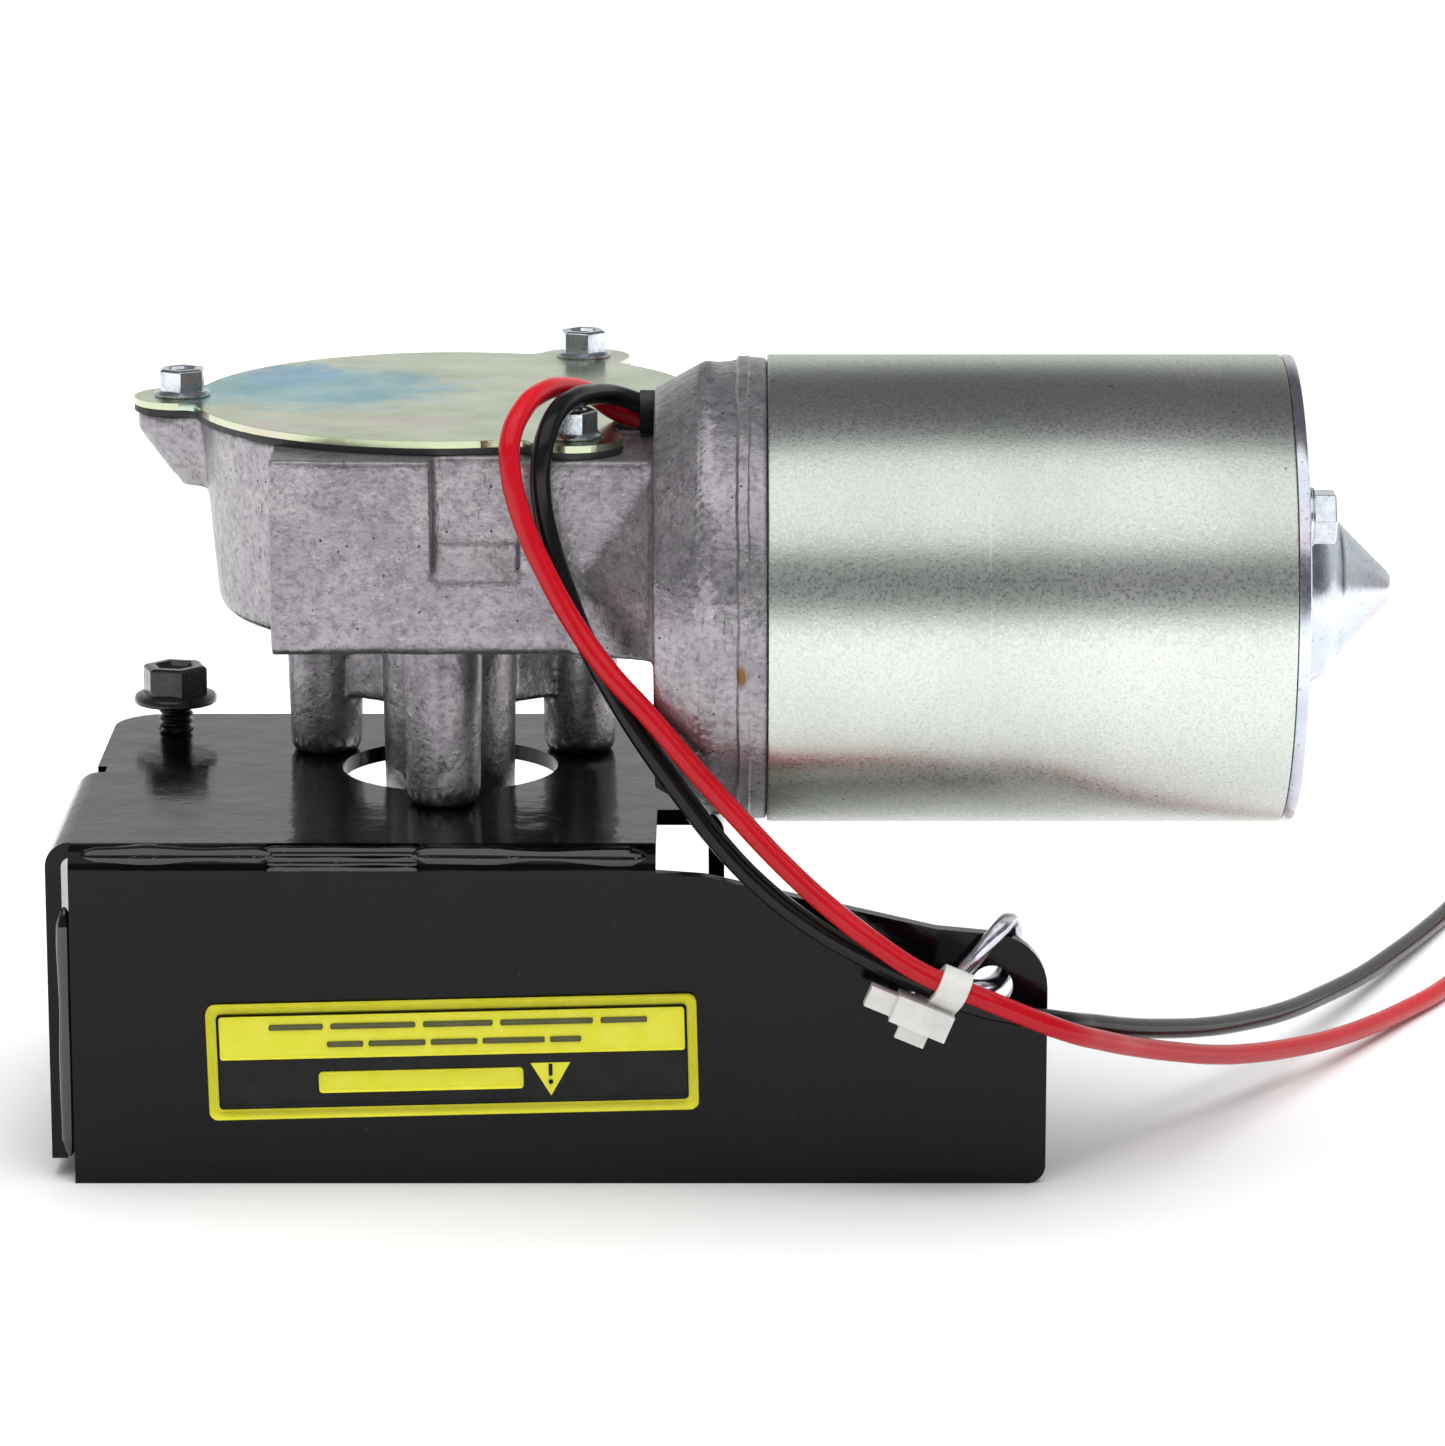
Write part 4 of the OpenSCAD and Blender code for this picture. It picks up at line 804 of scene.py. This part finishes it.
def ink(name, colour, worn):
    print_ink = Finish(name, metallic=0.0, ior=1.3)
    print_ink.patches(print_ink.cloudy(220.0, 0.3, 0.7), colour, worn)
    print_ink.gloss(print_ink.cloudy(600.0, 0.3, 0.7), 0.28, 0.42)
    print_ink.relief(print_ink.cloudy(300.0, 0.2, 0.8), 0.00003, 0.4)
    return print_ink.material


yellow_ink = ink("yellow_vinyl", (0.83, 0.8, 0.03), (0.9, 0.87, 0.08))
black_ink = ink("black_print", (0.006, 0.006, 0.007), (0.014, 0.014, 0.015))
grey_ink = ink("grey_print", (0.12, 0.12, 0.05), (0.16, 0.16, 0.07))
layers = [(slab("label_base", 0.079, 0.019, 0, 0.00012, 0, 0, 0.0014), yellow_ink)]
layers.append((slab("label_frame", 0.0758, 0.0158, 0.0001, 0.00014, 0, 0, 0.0007), black_ink))
layers.append((slab("label_field", 0.075, 0.0072, 0.00012, 0.00016, 0, 0.0039, 0.0005), yellow_ink))
words = (0.16, 0.24, 0.2, 0.26, 0.14)
for width, x, z in ((0.0622, 0.001, 0.0055), (0.0418, 0.0003, 0.0025)):
    for number, share in enumerate(words):
        word_x = x - width / 2 + width * (sum(words[:number]) + share / 2)
        bar = slab("label_line", width * (share - 0.02), 0.0009, 0.00014, 0.00018, word_x, z, 0.0003)
        layers.append((bar, grey_ink))
layers.append((slab("label_word", 0.033, 0.0034, 0.00012, 0.00016, -0.0052, -0.0038, 0.0006), yellow_ink))
bpy.ops.object.select_all(action="DESELECT")
bpy.ops.mesh.primitive_cylinder_add(vertices=3, radius=0.0037, depth=0.00004, location=(0, 0, 0))
sign = bpy.context.object
facing = Matrix.Rotation(math.pi / 2, 4, "X") @ Matrix.Rotation(math.pi, 4, "Z")
sign.data.transform(Matrix.Translation((0.0157, -0.00014, -0.0033)) @ facing)
layers.append((sign, yellow_ink))
layers.append((slab("sign_bar", 0.0006, 0.002, 0.00014, 0.00018, 0.0157, -0.0026, 0.0002), black_ink))
layers.append((slab("sign_dot", 0.0007, 0.0007, 0.00014, 0.00018, 0.0157, -0.0046, 0.0003), black_ink))
for piece, material in layers:
    piece.data.materials.append(material)
label = joined("generic_label", [piece for piece, _ in layers])
set_at(label, (-0.0435, -0.04565, 0.0215), (0, math.radians(-1.4), 0))
fit(label, "housing", None, "caution_label", slot="label")

# Wire link: 3 mm zinc-plated wire bent into a hook that hangs in the flange's ear and stops the tie.
hook = merged_copy("hook_link", "wire_link", flat=0)
round_out = hook.modifiers.new("round_wire", "SUBSURF")
round_out.levels = round_out.render_levels = 2
only(hook)
bpy.ops.object.modifier_apply(modifier=round_out.name)
bpy.ops.object.shade_smooth()
fit(hook, "housing", end_zinc.material, "hook_link", slot="end_zinc")

# Cable tie: moulded natural nylon, milky and slightly clear, pulled tight round both leads, its tail
# cut off short.
tie = merged_copy("cable_tie", "nylon_cable_tie")
soften(tie, 0.00035, 3)
nylon = Finish("natural_nylon", metallic=0.0, ior=1.53)
nylon.patches(nylon.cloudy(200.0, 0.3, 0.7), (0.72, 0.71, 0.68), (0.86, 0.855, 0.83))
nylon.gloss(nylon.cloudy(500.0, 0.3, 0.7), 0.26, 0.44)
nylon.relief(nylon.cloudy(500.0, 0.2, 0.8), 0.00008, 0.5)
nylon.shader.inputs["Subsurface Weight"].default_value = 0.35
nylon.shader.inputs["Subsurface Radius"].default_value = (0.002, 0.0018, 0.0015)
fit(tie, "housing", nylon.material, "cable_tie", slot="tie_nylon")

# Connector at the leads' far end: a two-way nylon housing with a latch, and tinned crimp terminals.
socket_shell = merged_copy("lead_connector", "two_way_connector")
soften(socket_shell, 0.0003, 3)
fit(socket_shell, "housing", nylon.material, "lead_connector", slot="connector_nylon")

# What is inside: each part keeps its own mesh and takes the finish of the metal or plastic it is made of.
def metal_finish(name, dark, light, rough, grain=600.0):
    metal = Finish(name, metallic=1.0)
    metal.patches(metal.cloudy(grain, 0.3, 0.7), dark, light)
    metal.patches(metal.cloudy(60.0, 0.5, 0.7), [0.8 * c for c in dark])
    metal.gloss(metal.cloudy(grain * 1.6, 0.3, 0.7), rough, rough + 0.16)
    metal.relief(metal.cloudy(grain * 2, 0.2, 0.8), 0.00003, 0.5)
    return metal.material


def plain_finish(name, dark, light, rough, grain=300.0):
    dull = Finish(name, metallic=0.0)
    dull.patches(dull.cloudy(grain, 0.3, 0.7), dark, light)
    dull.patches(dull.specked(grain * 2, 0.16, 0.1), [0.7 * c for c in dark])
    dull.gloss(dull.cloudy(grain * 2, 0.3, 0.7), rough, rough + 0.16)
    dull.relief(dull.cloudy(grain * 3, 0.2, 0.8), 0.00004, 0.5)
    return dull.material


ground = metal_finish("ground_steel", (0.42, 0.42, 0.44), (0.6, 0.6, 0.62), 0.16)
dark_steel = metal_finish("sprocket_steel", (0.16, 0.16, 0.17), (0.28, 0.28, 0.3), 0.3, 350.0)
bronze = metal_finish("bronze", (0.36, 0.24, 0.12), (0.55, 0.38, 0.2), 0.3)
inner = {
    "magnets": plain_finish("ferrite", (0.02, 0.02, 0.022), (0.05, 0.05, 0.052), 0.5),
    "armature_shaft": ground,
    "armature_core": metal_finish("core_steel", (0.2, 0.2, 0.22), (0.36, 0.36, 0.38), 0.32, 900.0),
    "windings": metal_finish("enamelled_wire", (0.4, 0.12, 0.05), (0.6, 0.22, 0.09), 0.24, 900.0),
    "commutator": metal_finish("copper", (0.55, 0.27, 0.17), (0.72, 0.4, 0.27), 0.2),
    "front_bearing": ground,
    "rear_bush": bronze,
    "brush_card": plain_finish("phenolic", (0.12, 0.05, 0.02), (0.2, 0.09, 0.04), 0.4),
    "brushes": plain_finish("carbon", (0.015, 0.015, 0.016), (0.04, 0.04, 0.042), 0.5, 900.0),
    "brush_springs": ground,
    "worm": metal_finish("worm_steel", (0.3, 0.3, 0.32), (0.46, 0.46, 0.48), 0.18),
    "thrust_ball": ground,
    "thrust_pad": bronze,
    "worm_wheel": plain_finish("wheel_nylon", (0.5, 0.47, 0.38), (0.62, 0.59, 0.5), 0.35),
    "wheel_hub": dark_steel,
    "output_shaft": ground,
    "upper_bush": bronze,
    "lower_bush": bronze,
    "thrust_washer": ground,
    "sprocket": dark_steel,
    "retaining_ring": oxide.material,
    "connector_terminals": metal_finish("tin", (0.5, 0.49, 0.46), (0.68, 0.67, 0.63), 0.22),
}
for node, material in inner.items():
    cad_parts[node].data.materials.clear()
    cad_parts[node].data.materials.append(material)

bpy.ops.object.select_all(action="DESELECT")
